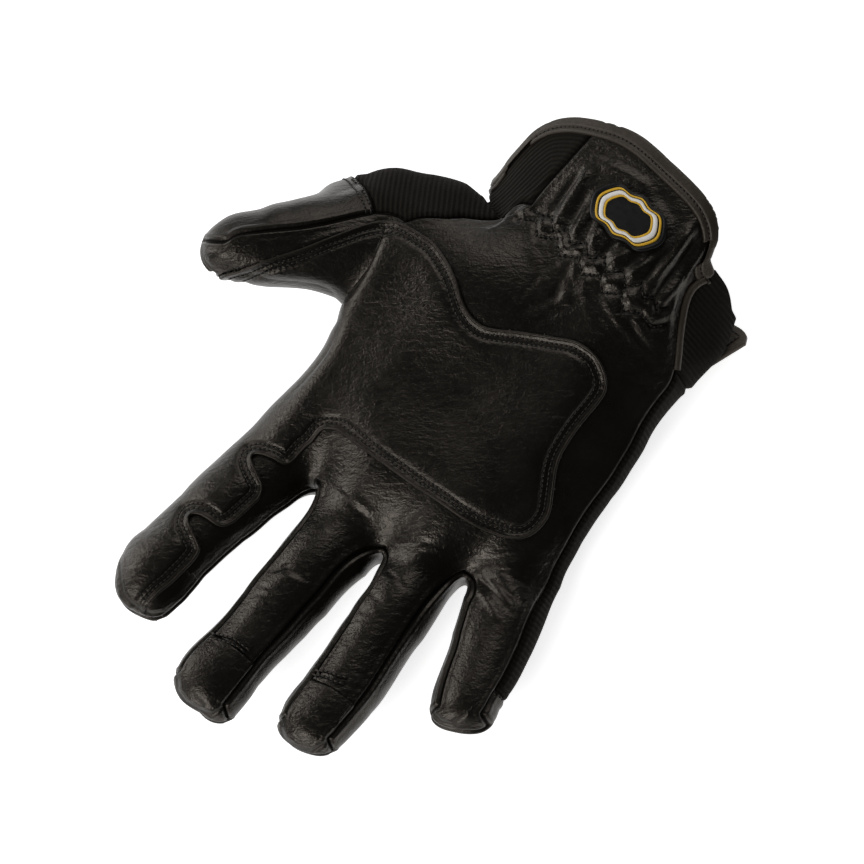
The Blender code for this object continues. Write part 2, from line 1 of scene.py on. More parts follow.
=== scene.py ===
"""Work glove, right hand, lying palm up: the leather, knit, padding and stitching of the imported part.

Every piece follows one smooth form, which is made from the same tables of sections as the part's
own source. Seams, folds, gathers and padding are pressed into that form, and it is then parted into
the leather and knit panels. Lengths are in metres unless a table says otherwise.
"""
import json
import math

import bmesh
import bpy
import numpy as np
from bpy.props import FloatProperty, FloatVectorProperty, PointerProperty
from mathutils import Matrix, Vector, noise
from mathutils.bvhtree import BVHTree
from mathutils.kdtree import KDTree

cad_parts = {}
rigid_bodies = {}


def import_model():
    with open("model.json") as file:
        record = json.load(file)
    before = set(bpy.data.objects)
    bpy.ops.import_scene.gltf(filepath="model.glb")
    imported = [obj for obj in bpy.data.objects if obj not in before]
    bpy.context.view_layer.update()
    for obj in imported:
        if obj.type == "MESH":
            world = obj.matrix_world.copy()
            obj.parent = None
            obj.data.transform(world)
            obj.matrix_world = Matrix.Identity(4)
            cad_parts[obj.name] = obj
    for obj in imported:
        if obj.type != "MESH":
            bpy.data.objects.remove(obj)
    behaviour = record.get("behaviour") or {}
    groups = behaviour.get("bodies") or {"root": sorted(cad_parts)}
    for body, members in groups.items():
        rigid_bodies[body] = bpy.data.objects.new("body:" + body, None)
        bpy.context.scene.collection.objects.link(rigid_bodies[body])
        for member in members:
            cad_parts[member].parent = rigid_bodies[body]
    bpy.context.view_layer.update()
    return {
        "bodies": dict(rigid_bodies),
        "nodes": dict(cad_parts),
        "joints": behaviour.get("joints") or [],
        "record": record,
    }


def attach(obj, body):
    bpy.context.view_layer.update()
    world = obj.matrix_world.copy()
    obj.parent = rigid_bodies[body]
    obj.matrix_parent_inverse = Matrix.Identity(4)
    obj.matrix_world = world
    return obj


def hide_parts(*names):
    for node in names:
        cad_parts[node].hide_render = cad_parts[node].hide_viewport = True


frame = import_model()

bl_info = {
    "name": "Work glove",
    "version": (1, 0, 0),
    "blender": (4, 5, 0),
    "location": "View3D > Sidebar > Glove",
    "description": "Leather and knit work glove with padded palm, gathers, stitching and a blank badge",
    "category": "Add Mesh",
}

MM = 0.001

# The named sizes of the part's source
HAND_BREADTH = 0.100
PALM_LENGTH = 0.100
HAND_DEPTH = 0.040
FINGER_LENGTH = 0.084
FINGER_BREADTH = 0.0250
FINGER_DEPTH = 0.0225
THUMB_LENGTH = 0.060
THUMB_BREADTH = 0.029
BINDING_WIDTH = 0.0050

PALM_ROWS = (
    # name, thumb side, index and middle, middle and ring, ring and little, outer side, bulge, corner
    ("roots", (48.5, 48, 50), (20.5, 54, 42), (-12, 57, 42), (-37.5, 46, 40), (-60, 30, 34), 18, 0),
    ("pads", (48.5, 31, 60), (22, 37, 66), (-9, 40, 68), (-35, 30, 64), (-57.5, 14, 42), 3, 0),
    ("crotch", (51, 8, 68), (24, 18, 72), (-6, 21, 72), (-32, 13, 70), (-55.5, -3, 44), 0, 0),
    ("hollow", (50, -8, 84), (25, -1, 78), (-4, 2, 72), (-30, -4, 74), (-53, -17, 46), 0, 0),
    ("thenar", (53.5, -30.5, 88), (26, -20, 92), (-3, -17, 80), (-28, -21, 78), (-50.5, -29, 49), 0, 0),
    ("heel", (38.5, -43, 82), (21, -39, 94), (-3, -36, 88), (-27, -37, 84), (-49.5, -40, 52), 0, 0),
    ("wrist", (31, -52.5, 72), (25, -61, 84), (0, -55, 96), (-27, -54, 92), (-47.5, -49, 58), 0, 0),
    ("cuff", (39, -57, 56), (24, -78, 92), (-3, -77, 102), (-24, -76, 98), (-35, -68, 72), 0, 3),
    ("edge", (45.5, -67, 48), (23.5, -97.5, 96), (-5, -99.5, 106), (-28, -95, 96), (-36, -82, 72), 0, 6),
)
BACK_ROWS = (
    # share of the top's breadth, edge height, middle height, y of the middle and of the outer side
    (0.96, 10, 2, None, None),
    (0.95, 9, -2, None, None),
    (0.94, 9, -2, None, None),
    (0.93, 9, -2, None, None),
    (0.93, 9, -2, None, None),
    (0.93, 10, 0, None, None),
    (0.92, 17, 8.5, None, None),
    (0.92, 17, 7.0, -68, -66),
    (0.93, 18, 9.0, -82, -80),
)
SIDE_ROWS = (
    # thumb side height, swell, lag toward the wrist, outer side height, swell
    (28, 1.5, 0, 18, 2.0),
    (30, 2.5, 0, 20, 2.0),
    (32, 2.5, 0, 21, 2.0),
    (36, 3.0, 0, 22, 2.0),
    (38, 3.0, 0, 23, 2.0),
    (48, 22.0, 11, 24, 2.0),
    (40, 13.0, 4, 26, 3.5),
    (34, 5.5, 2.5, 27, 15.5),
    (30, 2.5, 0, 27, 13.0),
)
FINGERS = (
    # name, x, y, height, heading in degrees, turn, length, breadth, depth, rise in hundredths of depth
    ("index", 36.3, 50, 33, 85.5, 3, 0.92, 1.04, 1.0, 26),
    ("middle", 4.2, 56, 34, 94.5, 0, 1.0, 1.03, 1.0, 26),
    ("ring", -24.8, 52, 33, 100.5, 0, 0.90, 1.02, 0.98, 26),
    ("little", -51.3, 38, 29, 115.5, -4, 0.65, 1.03, 0.92, 26),
)
FINGER_RINGS = (
    # share of the length, of the breadth, of the depth
    (0.16, 1.00, 1.00),
    (0.34, 0.98, 1.00),
    (0.52, 1.00, 0.98),
    (0.70, 1.00, 0.94),
    (0.90, 0.82, 0.74),
)
FINGER_ANGLES = (42, 90, 138, 180, 222, 270, 318, 0)
THUMB_ROOT = (56.5, -18, 42)
THUMB_HEADING = 41
THUMB_RISE = 48
THUMB_RINGS = (
    # share of the length, breadth, depth, shift toward the wrist, lean on the wrist and crotch sides
    (0.02, 1.66, 1.24, 8.5, 0.38, 0.75),
    (0.34, 1.22, 1.10, 4.3, 0.10, 0.20),
    (0.56, 1.01, 1.00, 1.8, 0.0, 0.0),
    (0.76, 0.94, 0.90, 0.5, 0.0, 0.0),
    (0.92, 0.70, 0.64, 0.0, 0.0, 0.0),
)
THUMB_ANGLES = (150, 118, 86, 50, 15, -20, -60, -100, -140, 180)

PANELS = (
    "palm_leather", "back_knit", "fourchette_index_middle", "fourchette_middle_ring",
    "fourchette_ring_little", "index_back_tip", "middle_back_tip", "ring_back_tip",
    "little_back_tip", "thumb_palm_leather", "thumb_back_leather", "thumb_knit",
    "cuff_knit_radial", "cuff_knit_back", "cuff_binding",
)
COVERED = ("middle_tip", "ring_tip")
PANEL = {name: index for index, name in enumerate(PANELS + COVERED)}
KNITS = ("back_knit", "thumb_knit", "cuff_knit_radial", "cuff_knit_back")
FORM_LEVELS = 4


# Sizes and colours that a user may change

class GloveSizes(bpy.types.PropertyGroup):
    seam_depth: FloatProperty(name="Seam depth", description="Depth of the groove where two panels are sewn",
                              default=0.0009, unit="LENGTH", precision=5)
    seam_width: FloatProperty(name="Seam width", description="Half width of a seam's groove",
                              default=0.0008, unit="LENGTH", precision=5)
    leather_wall: FloatProperty(name="Leather", description="Thickness of the leather",
                                default=0.0010, unit="LENGTH", precision=5)
    knit_wall: FloatProperty(name="Knit", description="Thickness of the knit",
                             default=0.0012, unit="LENGTH", precision=5)
    pad_height: FloatProperty(name="Padding", description="How far the palm patch stands above the leather",
                              default=0.0015, unit="LENGTH", precision=5)
    stitch_pitch: FloatProperty(name="Stitch pitch", description="Distance from one stitch to the next",
                                default=0.00165, unit="LENGTH", precision=5)
    stitch_length: FloatProperty(name="Stitch length", description="Length of one stitch",
                                 default=0.00125, unit="LENGTH", precision=5)
    thread_width: FloatProperty(name="Thread", description="Breadth of the sewing thread",
                                default=0.00050, unit="LENGTH", precision=5)
    rib_pitch: FloatProperty(name="Rib pitch", description="Distance from one knit rib to the next",
                             default=0.00170, unit="LENGTH", precision=5)


class GloveColours(bpy.types.PropertyGroup):
    leather: FloatVectorProperty(name="Leather", description="Colour of the black leather", subtype="COLOR",
                                 size=3, min=0, max=1, default=(0.0036, 0.0029, 0.0022))
    knit: FloatVectorProperty(name="Knit", description="Colour of the knit", subtype="COLOR",
                              size=3, min=0, max=1, default=(0.0042, 0.0034, 0.0027))
    thread: FloatVectorProperty(name="Thread", description="Colour of the sewing thread", subtype="COLOR",
                                size=3, min=0, max=1, default=(0.0100, 0.0085, 0.0070))
    rubber: FloatVectorProperty(name="Badge", description="Colour of the badge's field", subtype="COLOR",
                                size=3, min=0, max=1, default=(0.0016, 0.0015, 0.0014))
    gold: FloatVectorProperty(name="Gold line", description="Colour of the badge's gold line",
                              subtype="COLOR", size=3, min=0, max=1, default=(0.72, 0.42, 0.03))
    white: FloatVectorProperty(name="White line", description="Colour of the badge's white line",
                               subtype="COLOR", size=3, min=0, max=1, default=(0.80, 0.78, 0.74))
    floor: FloatVectorProperty(name="Floor", description="Colour of the floor", subtype="COLOR",
                               size=3, min=0, max=1, default=(0.93, 0.93, 0.93))


# The smooth form

def across(share):
    return share * HAND_BREADTH / 100


def along(share):
    return share * PALM_LENGTH / 100


def upward(share):
    return share * HAND_DEPTH / 100


def palm_point(share):
    return Vector((across(share[0]), along(share[1]), upward(share[2])))


def halfway(points, index, bulge):
    """The point between column index and the next one, on a smooth curve through all five."""
    before = points[max(index - 1, 0)]
    after = points[min(index + 2, len(points) - 1)]
    middle = (points[index] + points[index + 1]) * 0.5625 - (before + after) * 0.0625
    middle.z += upward(bulge)
    return middle


def palm_ring(row, back, side):
    """Twenty points round the hand: nine over the palm, the outer side, nine under, the thumb side."""
    name, *shares, bulge, corner = row
    points = [palm_point(share) for share in shares]
    top = []
    for index in range(4):
        top += [points[index], halfway(points, index, bulge)]
    top[1] += Vector((across(corner), along(-corner), 0.0))
    top.append(points[4])
    narrow, edge_height, height, back_middle, back_outer = back
    thumb_height, thumb_swell, thumb_lag, outer_height, outer_swell = side
    centre = (top[0].x + top[8].x) / 2
    under = []
    for column, point in enumerate(top):
        low = Vector((centre + (point.x - centre) * narrow, point.y, upward(height)))
        if column in (0, 8):
            low.z = upward(edge_height)
        if back_middle is not None and column > 1:
            outward = max(0.0, column - 4) / 4
            low.y = along(back_middle + (back_outer - back_middle) * outward)
        under.append(low)
    outer = (top[8] + under[8]) / 2
    outer.x = top[8].x - across(outer_swell)
    outer.z = upward(outer_height)
    thumb = (top[0] + under[0]) / 2
    thumb.x = top[0].x + across(thumb_swell)
    thumb.y -= along(thumb_lag)
    thumb.z = upward(thumb_height)
    return top + [outer] + under[::-1] + [thumb]


def tube_ring(centre, heading, angles, breadth, depth, slope):
    """Points round a finger, square to its heading, at the given angles from its right-hand side."""
    forward = Vector((math.cos(heading) * math.cos(slope), math.sin(heading) * math.cos(slope),
                      math.sin(slope)))
    side = Vector((math.sin(heading), -math.cos(heading), 0.0))
    normal = side.cross(forward)
    return [centre + side * (math.cos(math.radians(angle)) * breadth / 2)
            + normal * (math.sin(math.radians(angle)) * depth / 2) for angle in angles]


def finger_rings(finger):
    name, x, y, height, heading, turn, length, breadth, depth, rise = finger
    root = palm_point((x, y, height))
    reach = FINGER_LENGTH * length
    rings = []
    place = root.copy()
    done = 0.0
    for share, ring_breadth, ring_depth in FINGER_RINGS + ((1.0, 0, 0),):
        way = math.radians(heading + turn * (share + done) / 2)
        place = place + Vector((math.cos(way), math.sin(way), 0.0)) * (reach * (share - done))
        place.z = root.z + upward(rise) * share ** 1.4
        slope = math.atan2(upward(rise) * 1.4 * share ** 0.4, reach)
        done = share
        if ring_breadth == 0:
            return rings, place
        rings.append(tube_ring(place, way, FINGER_ANGLES, FINGER_BREADTH * breadth * ring_breadth,
                               FINGER_DEPTH * depth * ring_depth, slope))


def thumb_rings():
    root = palm_point(THUMB_ROOT)
    heading = math.radians(THUMB_HEADING)
    forward = Vector((math.cos(heading), math.sin(heading), 0.0))
    wrist_side = Vector((math.sin(heading), -math.cos(heading), 0.0))
    slope = math.atan2(upward(THUMB_RISE), THUMB_LENGTH)
    rings = []
    for share, breadth, depth, shift, wrist_lean, crotch_lean in THUMB_RINGS:
        centre = root + forward * (THUMB_LENGTH * share) + wrist_side * across(shift)
        centre.z = root.z + upward(THUMB_RISE) * share
        ring = tube_ring(centre, heading, THUMB_ANGLES, THUMB_BREADTH * breadth,
                         THUMB_BREADTH * depth, slope)
        for point in ring:
            aside = (point - root).dot(wrist_side)
            point += forward * (abs(aside) * (wrist_lean if aside > 0 else crotch_lean))
        rings.append(ring)
    tip = root + forward * THUMB_LENGTH
    tip.z = root.z + upward(THUMB_RISE)
    return rings, tip, wrist_side


def tag(face, panel):
    face.material_index = PANEL[panel]
    face.smooth = True


def grow(mesh, ring, points, panels):
    """Extrude a closed ring of edges to the next section and tag the new faces by panel."""
    count = len(ring)
    edges = [mesh.edges.get((ring[index], ring[(index + 1) % count])) for index in range(count)]
    made = bmesh.ops.extrude_edge_only(mesh, edges=edges)["geom"]
    fresh = {item for item in made if isinstance(item, bmesh.types.BMVert)}
    following = [next(edge.other_vert(corner) for edge in corner.link_edges
                      if edge.other_vert(corner) in fresh) for corner in ring]
    for corner, point in zip(following, points):
        corner.co = point
    holes = []
    for index, panel in enumerate(panels):
        near = following[index]
        face = next(face for face in edges[index].link_faces if near in face.verts)
        if panel is None:
            holes.append(face)
        else:
            tag(face, panel)
    return following, holes


def palm_band_panels(row):
    if row <= 5:
        thumb_side = ["back_knit", "palm_leather"] if row <= 1 else [None, None]
        if row == 5:
            thumb_side = ["thumb_knit", "thumb_knit"]
        return ["palm_leather"] * 8 + ["back_knit"] * 10 + thumb_side
    if row <= 7:
        return (["cuff_knit_radial"] * 2 + ["palm_leather"] * 6 + ["cuff_knit_back"] * 10
                + ["cuff_knit_radial"] * 2)
    return ["cuff_binding"] * 8 + ["cuff_knit_back"] * 2 + ["cuff_binding"] * 10


def covered_tip(finger):
    name = FINGERS[finger][0] + "_tip"
    return name if name in COVERED else "palm_leather"


def finger_band_panels(finger, band):
    fourchettes = PANELS[2:5]
    tip = FINGERS[finger][0] + "_back_tip"
    back = tip if band >= 4 else "back_knit"
    thumb_wall = "palm_leather" if finger == 0 else fourchettes[finger - 1]
    outer_wall = "back_knit" if finger == 3 else fourchettes[finger]
    thumb_low = "back_knit" if finger == 0 else thumb_wall
    outer_low = outer_wall
    if finger == 0:
        outer_wall = "palm_leather"
    if band == 4:
        thumb_low = back if finger == 0 else thumb_low
        outer_wall = back if finger == 3 else outer_wall
        outer_low = back if finger == 3 else outer_low
    palm = covered_tip(finger) if band >= 4 else "palm_leather"
    return [palm, palm, outer_wall, outer_low, back, back, thumb_low, thumb_wall]


def thumb_band_panels(band):
    back = "thumb_knit" if band < 1 else "thumb_back_leather"
    return ["thumb_palm_leather"] * 2 + [back] * 6 + ["thumb_palm_leather"] * 2


def cap(mesh, corners, panel):
    tag(mesh.faces.new(corners), panel)


def make_cage():
    """The coarse form, extruded section by section from the fingers' roots to the cuff, then the fingers."""
    sections = [palm_ring(row, back, side) for row, back, side in zip(PALM_ROWS, BACK_ROWS, SIDE_ROWS)]
    inside = []
    for near, far in zip(sections[7], sections[8]):
        way = near - far
        inside.append(far + way * min(0.8, BINDING_WIDTH / way.length))
    sections.insert(8, inside)
    mesh = bmesh.new()
    ring = bmesh.ops.create_circle(mesh, segments=20, radius=HAND_BREADTH / 2)["verts"]
    for corner, point in zip(ring, sections[0]):
        corner.co = point
    rings = [ring]
    holes = []
    for row in range(9):
        ring, gap = grow(mesh, ring, sections[row + 1], palm_band_panels(row))
        rings.append(ring)
        holes += gap
    near = [rings[row][0] for row in (2, 3, 4, 5)] + [rings[5][19]]
    near += [rings[row][18] for row in (5, 4, 3, 2)] + [rings[2][19]]
    bmesh.ops.delete(mesh, geom=holes, context="FACES")
    sides, tip_point, wrist_side = thumb_rings()
    for band, points in enumerate(sides):
        near = grow(mesh, near, points, thumb_band_panels(band))[0]
    spread = wrist_side * (THUMB_BREADTH * 0.13)
    outer = mesh.verts.new(tip_point - spread)
    inner = mesh.verts.new(tip_point + spread)
    cap(mesh, (near[0], near[1], outer, near[9]), "thumb_palm_leather")
    cap(mesh, (near[1], near[2], inner, outer), "thumb_palm_leather")
    cap(mesh, (near[2], near[3], near[4], inner), "thumb_back_leather")
    cap(mesh, (near[9], outer, near[7], near[8]), "thumb_back_leather")
    cap(mesh, (outer, inner, near[6], near[7]), "thumb_back_leather")
    cap(mesh, (inner, near[4], near[5], near[6]), "thumb_back_leather")
    roots = rings[0]
    walls = [roots[19]]
    for column in (2, 4, 6):
        wall = (roots[column].co + roots[18 - column].co) / 2
        wall.y = roots[column].co.y + along(1.0)
        post = mesh.verts.new(wall)
        mesh.edges.new((roots[column], post))
        mesh.edges.new((post, roots[18 - column]))
        walls.append(post)
    walls.append(roots[9])
    for index, finger in enumerate(FINGERS):
        first, last = 2 * index, 2 * index + 2
        near = roots[first:last + 1] + [walls[index + 1]] + [
            roots[18 - last], roots[18 - last + 1], roots[18 - first], walls[index]]
        points, tip_point = finger_rings(finger)
        for band, ring_points in enumerate(points):
            near = grow(mesh, near, ring_points, finger_band_panels(index, band))[0]
        tip = mesh.verts.new(tip_point)
        cap(mesh, (near[0], near[1], tip, near[7]), covered_tip(index))
        cap(mesh, (near[1], near[2], near[3], tip), covered_tip(index))
        cap(mesh, (tip, near[3], near[4], near[5]), finger[0] + "_back_tip")
        cap(mesh, (near[7], tip, near[5], near[6]), finger[0] + "_back_tip")
    bmesh.ops.recalc_face_normals(mesh, faces=mesh.faces[:])
    data = bpy.data.meshes.new("cage")
    mesh.to_mesh(data)
    mesh.free()
    return data


def baked(piece):
    """The piece's mesh with its modifiers applied."""
    bpy.context.view_layer.update()
    return bpy.data.meshes.new_from_object(piece.evaluated_get(bpy.context.evaluated_depsgraph_get()))


def subdivided(mesh, levels):
    holder = bpy.data.objects.new("form", mesh)
    bpy.context.scene.collection.objects.link(holder)
    smooth = holder.modifiers.new("smooth", "SUBSURF")
    smooth.levels = smooth.render_levels = levels
    result = baked(holder)
    bpy.data.objects.remove(holder)
    return result


def smooth_form():
    """The subdivided form, its cage pushed out until it passes through the tables' points."""
    cage = make_cage()
    targets = [vertex.co.copy() for vertex in cage.vertices]
    for step in range(4):
        smooth = subdivided(cage, 2)
        for vertex, target in zip(cage.vertices, targets):
            vertex.co += (target - smooth.vertices[vertex.index].co) * 0.8
        bpy.data.meshes.remove(smooth)
    form = subdivided(cage, FORM_LEVELS)
    bpy.data.meshes.remove(cage)
    return form


# The photograph's view

VIEW_RIGHT = Vector((-0.7351, -0.6626, -0.1434))
VIEW_UP = Vector((0.6034, -0.7359, 0.3071))
VIEW_BACK = Vector((-0.3090, 0.1392, 0.9408))
VIEW_LENS = 100.0
VIEW_SENSOR = 36.0
FRAME_PIXELS = 864
MIDDLE_PIXEL = FRAME_PIXELS / 2
VIEW_DISTANCE = 0.792
VIEW_TARGET = Vector((0.0, 0.020, 0.020))
VIEW_EYE = VIEW_TARGET + VIEW_BACK * VIEW_DISTANCE + VIEW_RIGHT * 0.00066 + VIEW_UP * 0.00264
FOCAL_PIXELS = VIEW_LENS / VIEW_SENSOR * FRAME_PIXELS


def pixels(points):
    """Where points fall in the photograph, as columns x and y, from an array of points."""
    rel = points - np.array(VIEW_EYE)
    depth = -(rel @ np.array(VIEW_BACK))
    return np.stack([MIDDLE_PIXEL + rel @ np.array(VIEW_RIGHT) / depth * FOCAL_PIXELS,
                     MIDDLE_PIXEL - rel @ np.array(VIEW_UP) / depth * FOCAL_PIXELS], 1)


def sight(x, y):
    """The direction from the camera through a pixel."""
    across_view = VIEW_RIGHT * (x - MIDDLE_PIXEL) - VIEW_UP * (y - MIDDLE_PIXEL)
    return (across_view - VIEW_BACK * FOCAL_PIXELS).normalized()


# Small pulls that bring the smooth form's outline to the photograph's: place, then move, in pixels
GRABS = (
    (360, 168, 1.5, 5.5), (339, 171, 5, 9.5), (400, 171, 0.3, -2.5), (440, 179, 0.4, -1.5),
    (323, 185, 4, 2.5), (460, 185, 1.3, -3.3), (307, 200, -1.9, -4.4), (281, 205, -0.5, -2.7),
    (252, 207, 0.7, 3.7), (231, 211, 0.7, 2.7), (211, 220, 4.5, 6), (200, 237, 5.8, 1.5),
    (199, 257, 3.7, -0.8), (212, 273, 2.6, -2.3), (228, 285, 3.2, -4.5), (247, 292, 1, -8.7),
    (267, 293, 0.2, -6.7), (287, 295, 1.2, -7.7), (307, 298, 1.5, -9.6), (327, 302, 1.9, -7.5),
    (328, 322, 4.5, 4.3), (316, 339, 8.6, 6.5), (304, 356, 8.6, 6), (292, 373, 7.6, 5.2),
    (280, 390, 4.5, 3.1), (268, 407, 1.6, 1.2), (257, 420, 0.8, 0.6), (235, 444, -0.4, -0.3),
    (641, 450, 1.5, 0.9), (177, 495, 1.6, 1.6), (287, 503, 1.8, 2.4), (609, 504, -1.7, -1),
    (161, 509, 2.4, 2.6), (598, 521, -2.7, -1.8), (146, 523, 2.7, 2.7), (586, 538, -1.6, -1.2),
    (240, 546, -1.5, -2), (118, 554, 2.3, 1.5), (225, 560, -2.7, -2.7), (110, 573, 7.7, 0.8),
    (356, 573, 4.4, 5.8), (210, 574, -2, -2.6), (341, 588, 3.7, 3.3), (553, 590, 3.3, 1.8),
    (115, 593, 2.6, -1.5), (238, 595, 1.5, 1.3), (447, 599, 1.5, 1.3), (177, 600, 1.4, 2.1),
    (329, 604, 3.2, 2.4), (157, 607, 3.4, 9.4), (129, 608, -1, 1.4), (465, 608, -5.5, -1.8),
    (545, 609, 3.3, 1.2), (224, 611, 2.6, 2.4), (435, 615, 1.5, 1), (340, 622, 1.6, 1.2),
    (210, 627, 1.6, 1.5), (458, 627, -2.3, -1), (538, 629, 2.4, 0.8), (424, 633, 1.5, 0.9),
    (328, 639, 2.3, 1.5), (197, 643, -1.8, -1.4), (531, 648, 1.4, 0.5), (291, 652, -1.5, -1.3),
    (317, 656, 2.6, 1.9), (186, 660, -4.5, -2.7), (278, 668, -3.7, -3.4), (525, 668, -1.7, -0.5),
    (305, 673, 2.3, 1.5), (178, 679, -3.4, -2.9), (264, 684, -2.7, -2.7), (518, 688, -4.5, -1.5),
    (177, 699, 3.7, -1.5), (511, 707, -11.7, -2.5), (285, 709, -2.5, -1.2), (225, 713, 1.8, 4.4),
    (190, 715, 5.5, -8), (368, 718, -1.6, -1.2), (437, 724, -2.4, 1.8), (280, 729, -3.5, 0.1),
    (356, 734, -3.3, -2.6), (453, 736, 2.2, -5.6), (288, 748, 4.4, -3.6), (342, 749, -2.6, -2.7),
    (305, 760, 2.5, -8.6), (325, 760, -1.7, -4.7), (475, 739, 0, -7), (495, 726, -5, -7),
    (210, 240, 0, 10), (721, 284, 2, -1), (739, 314, -8, 6), (732, 326, 2, 8), (718, 342, 7, 11),
    (703, 360, 5, 8), (690, 375, 2, 4),
)
GRAB_REACH = 17.0


def grabbed(points):
    """The points pulled across the photograph's view."""
    spots = pixels(points)
    total = np.zeros(len(points))
    moves = np.zeros((len(points), 2))
    for x, y, right, down in GRABS:
        weight = np.exp(-((spots - (x, y)) ** 2).sum(1) / GRAB_REACH ** 2)
        total += weight
        moves += weight[:, None] * np.array((right, down))
    scale = (np.array(VIEW_EYE) - points) @ np.array(VIEW_BACK) / FOCAL_PIXELS
    moves *= (scale / np.maximum(total, 1.0))[:, None]
    return points + moves[:, :1] * np.array(VIEW_RIGHT) - moves[:, 1:] * np.array(VIEW_UP)


# Folds, as the photograph shows them

# Height in millimetres (below zero is a valley), half width in pixels, then the fold's line in pixels
CUFF_FOLDS = (
    (1.8, 6.0, (651, 283), (671, 257), (695, 224)),
    (-1.3, 3.2, (655, 297), (678, 268), (703, 231)),
    (1.3, 4.5, (660, 305), (684, 276), (706, 243)),
    (-0.9, 3.0, (642, 285), (660, 262), (676, 246)),
    (1.4, 5.0, (558, 221), (572, 198), (590, 168)),
    (-1.0, 3.0, (551, 214), (566, 192), (581, 172)),
    (-1.0, 3.2, (568, 228), (579, 208), (587, 192)),
    (1.0, 4.0, (572, 238), (583, 219), (588, 208)),
    (-0.8, 3.0, (585, 240), (590, 224), (594, 214)),
    (1.0, 4.5, (590, 251), (596, 236), (600, 228)),
    (-0.9, 3.0, (603, 256), (609, 247), (618, 241)),
    (1.1, 4.5, (609, 265), (621, 256), (634, 252)),
    (-0.9, 3.0, (622, 270), (633, 262), (646, 256)),
    (1.1, 4.5, (628, 279), (640, 268), (652, 260)),
    (-0.7, 5.0, (596, 152), (622, 160), (648, 176)),
    (0.7, 5.0, (600, 164), (625, 172), (652, 190)),
    (-0.5, 6.0, (676, 222), (668, 205), (655, 190)),
    (0.8, 4.0, (668, 318), (677, 296), (690, 275)),
)
WRIST_FOLDS = (
    (-0.5, 4.0, (572, 262), (560, 280), (553, 305)),
    (0.4, 3.4, (585, 276), (584, 292), (592, 316)),
    (-0.4, 2.8, (593, 280), (597, 296), (606, 318)),
    (0.4, 3.4, (604, 296), (612, 312), (622, 330)),
    (-0.5, 2.8, (618, 298), (626, 316), (640, 334)),
    (0.4, 3.4, (633, 318), (641, 331), (650, 342)),
    (-0.6, 3.0, (628, 322), (640, 338), (652, 352)),
    (-0.4, 4.5, (545, 228), (553, 250), (556, 272)),
    (0.3, 5.0, (530, 246), (540, 268), (545, 292)),
    (-0.4, 2.4, (564, 268), (572, 284), (574, 300)),
    (-0.4, 2.4, (586, 300), (594, 314), (604, 326)),
    (-0.3, 2.4, (548, 262), (536, 280), (520, 296)),
    (-0.3, 2.2, (606, 312), (614, 326), (628, 340)),
)
PALM_FOLDS = (
    (-0.45, 5.0, (520, 312), (548, 300), (566, 288)),
    (-0.35, 4.0, (534, 322), (560, 310), (585, 300)),
    (-0.45, 2.2, (332, 487), (352, 505), (372, 522)),
    (0.35, 2.5, (338, 484), (356, 500), (374, 515)),
    (-0.45, 2.2, (478, 562), (494, 570), (512, 572)),
    (-0.40, 2.0, (470, 556), (492, 560), (516, 556)),
    (-0.55, 2.4, (476, 575), (494, 592), (512, 615)),
    (0.45, 3.0, (472, 582), (486, 600), (500, 622)),
    (-0.45, 2.2, (490, 575), (506, 590), (520, 604)),
    (-0.40, 2.0, (500, 570), (514, 578), (528, 586)),
    (-0.40, 2.2, (396, 544), (420, 542), (446, 548)),
    (-0.35, 2.0, (402, 552), (424, 552), (442, 556)),
    (-0.30, 6.0, (600, 330), (640, 350), (662, 380)),
)
FINGER_FOLDS = (
    (-0.55, 2.0, (272, 571), (286, 566), (296, 574), (312, 582)),
    (0.40, 2.6, (276, 578), (290, 577), (304, 585)),
    (-0.40, 1.8, (282, 562), (296, 570), (316, 574)),
    (-0.30, 1.8, (254, 592), (266, 596), (276, 602)),
    (-0.30, 1.8, (258, 586), (272, 588), (284, 592)),
    (-0.35, 2.0, (206, 476), (222, 478), (236, 484)),
    (-0.25, 1.8, (212, 468), (226, 472), (238, 476)),
    (-0.35, 2.2, (360, 586), (374, 596), (384, 606)),
    (-0.30, 2.0, (352, 604), (364, 612), (376, 616)),
    (-0.35, 2.2, (386, 570), (398, 580), (406, 590)),
    (-0.40, 3.0, (138, 540), (152, 545), (166, 541)),
    (-0.35, 2.2, (215, 702), (224, 706), (236, 700)),
    (-0.35, 2.2, (300, 712), (312, 722), (326, 722)),
)
THUMB_FOLDS = (
    (0.3, 3.0, (219, 273), (245, 266), (285, 252), (322, 238), (372, 221)),
)
# The seam round each fingertip, in pixels
RIMS = (
    ((134, 538), (126, 547), (123, 560), (124, 580), (127, 594), (137, 606), (152, 614), (165, 612),
     (180, 602)),
    ((182, 664), (178, 676), (179, 690), (187, 701), (200, 709), (213, 713), (224, 705), (230, 698)),
    ((286, 716), (282, 728), (285, 739), (297, 747), (312, 751), (324, 743), (332, 731)),
    ((433, 698), (434, 712), (441, 721), (452, 724), (464, 714)),
)
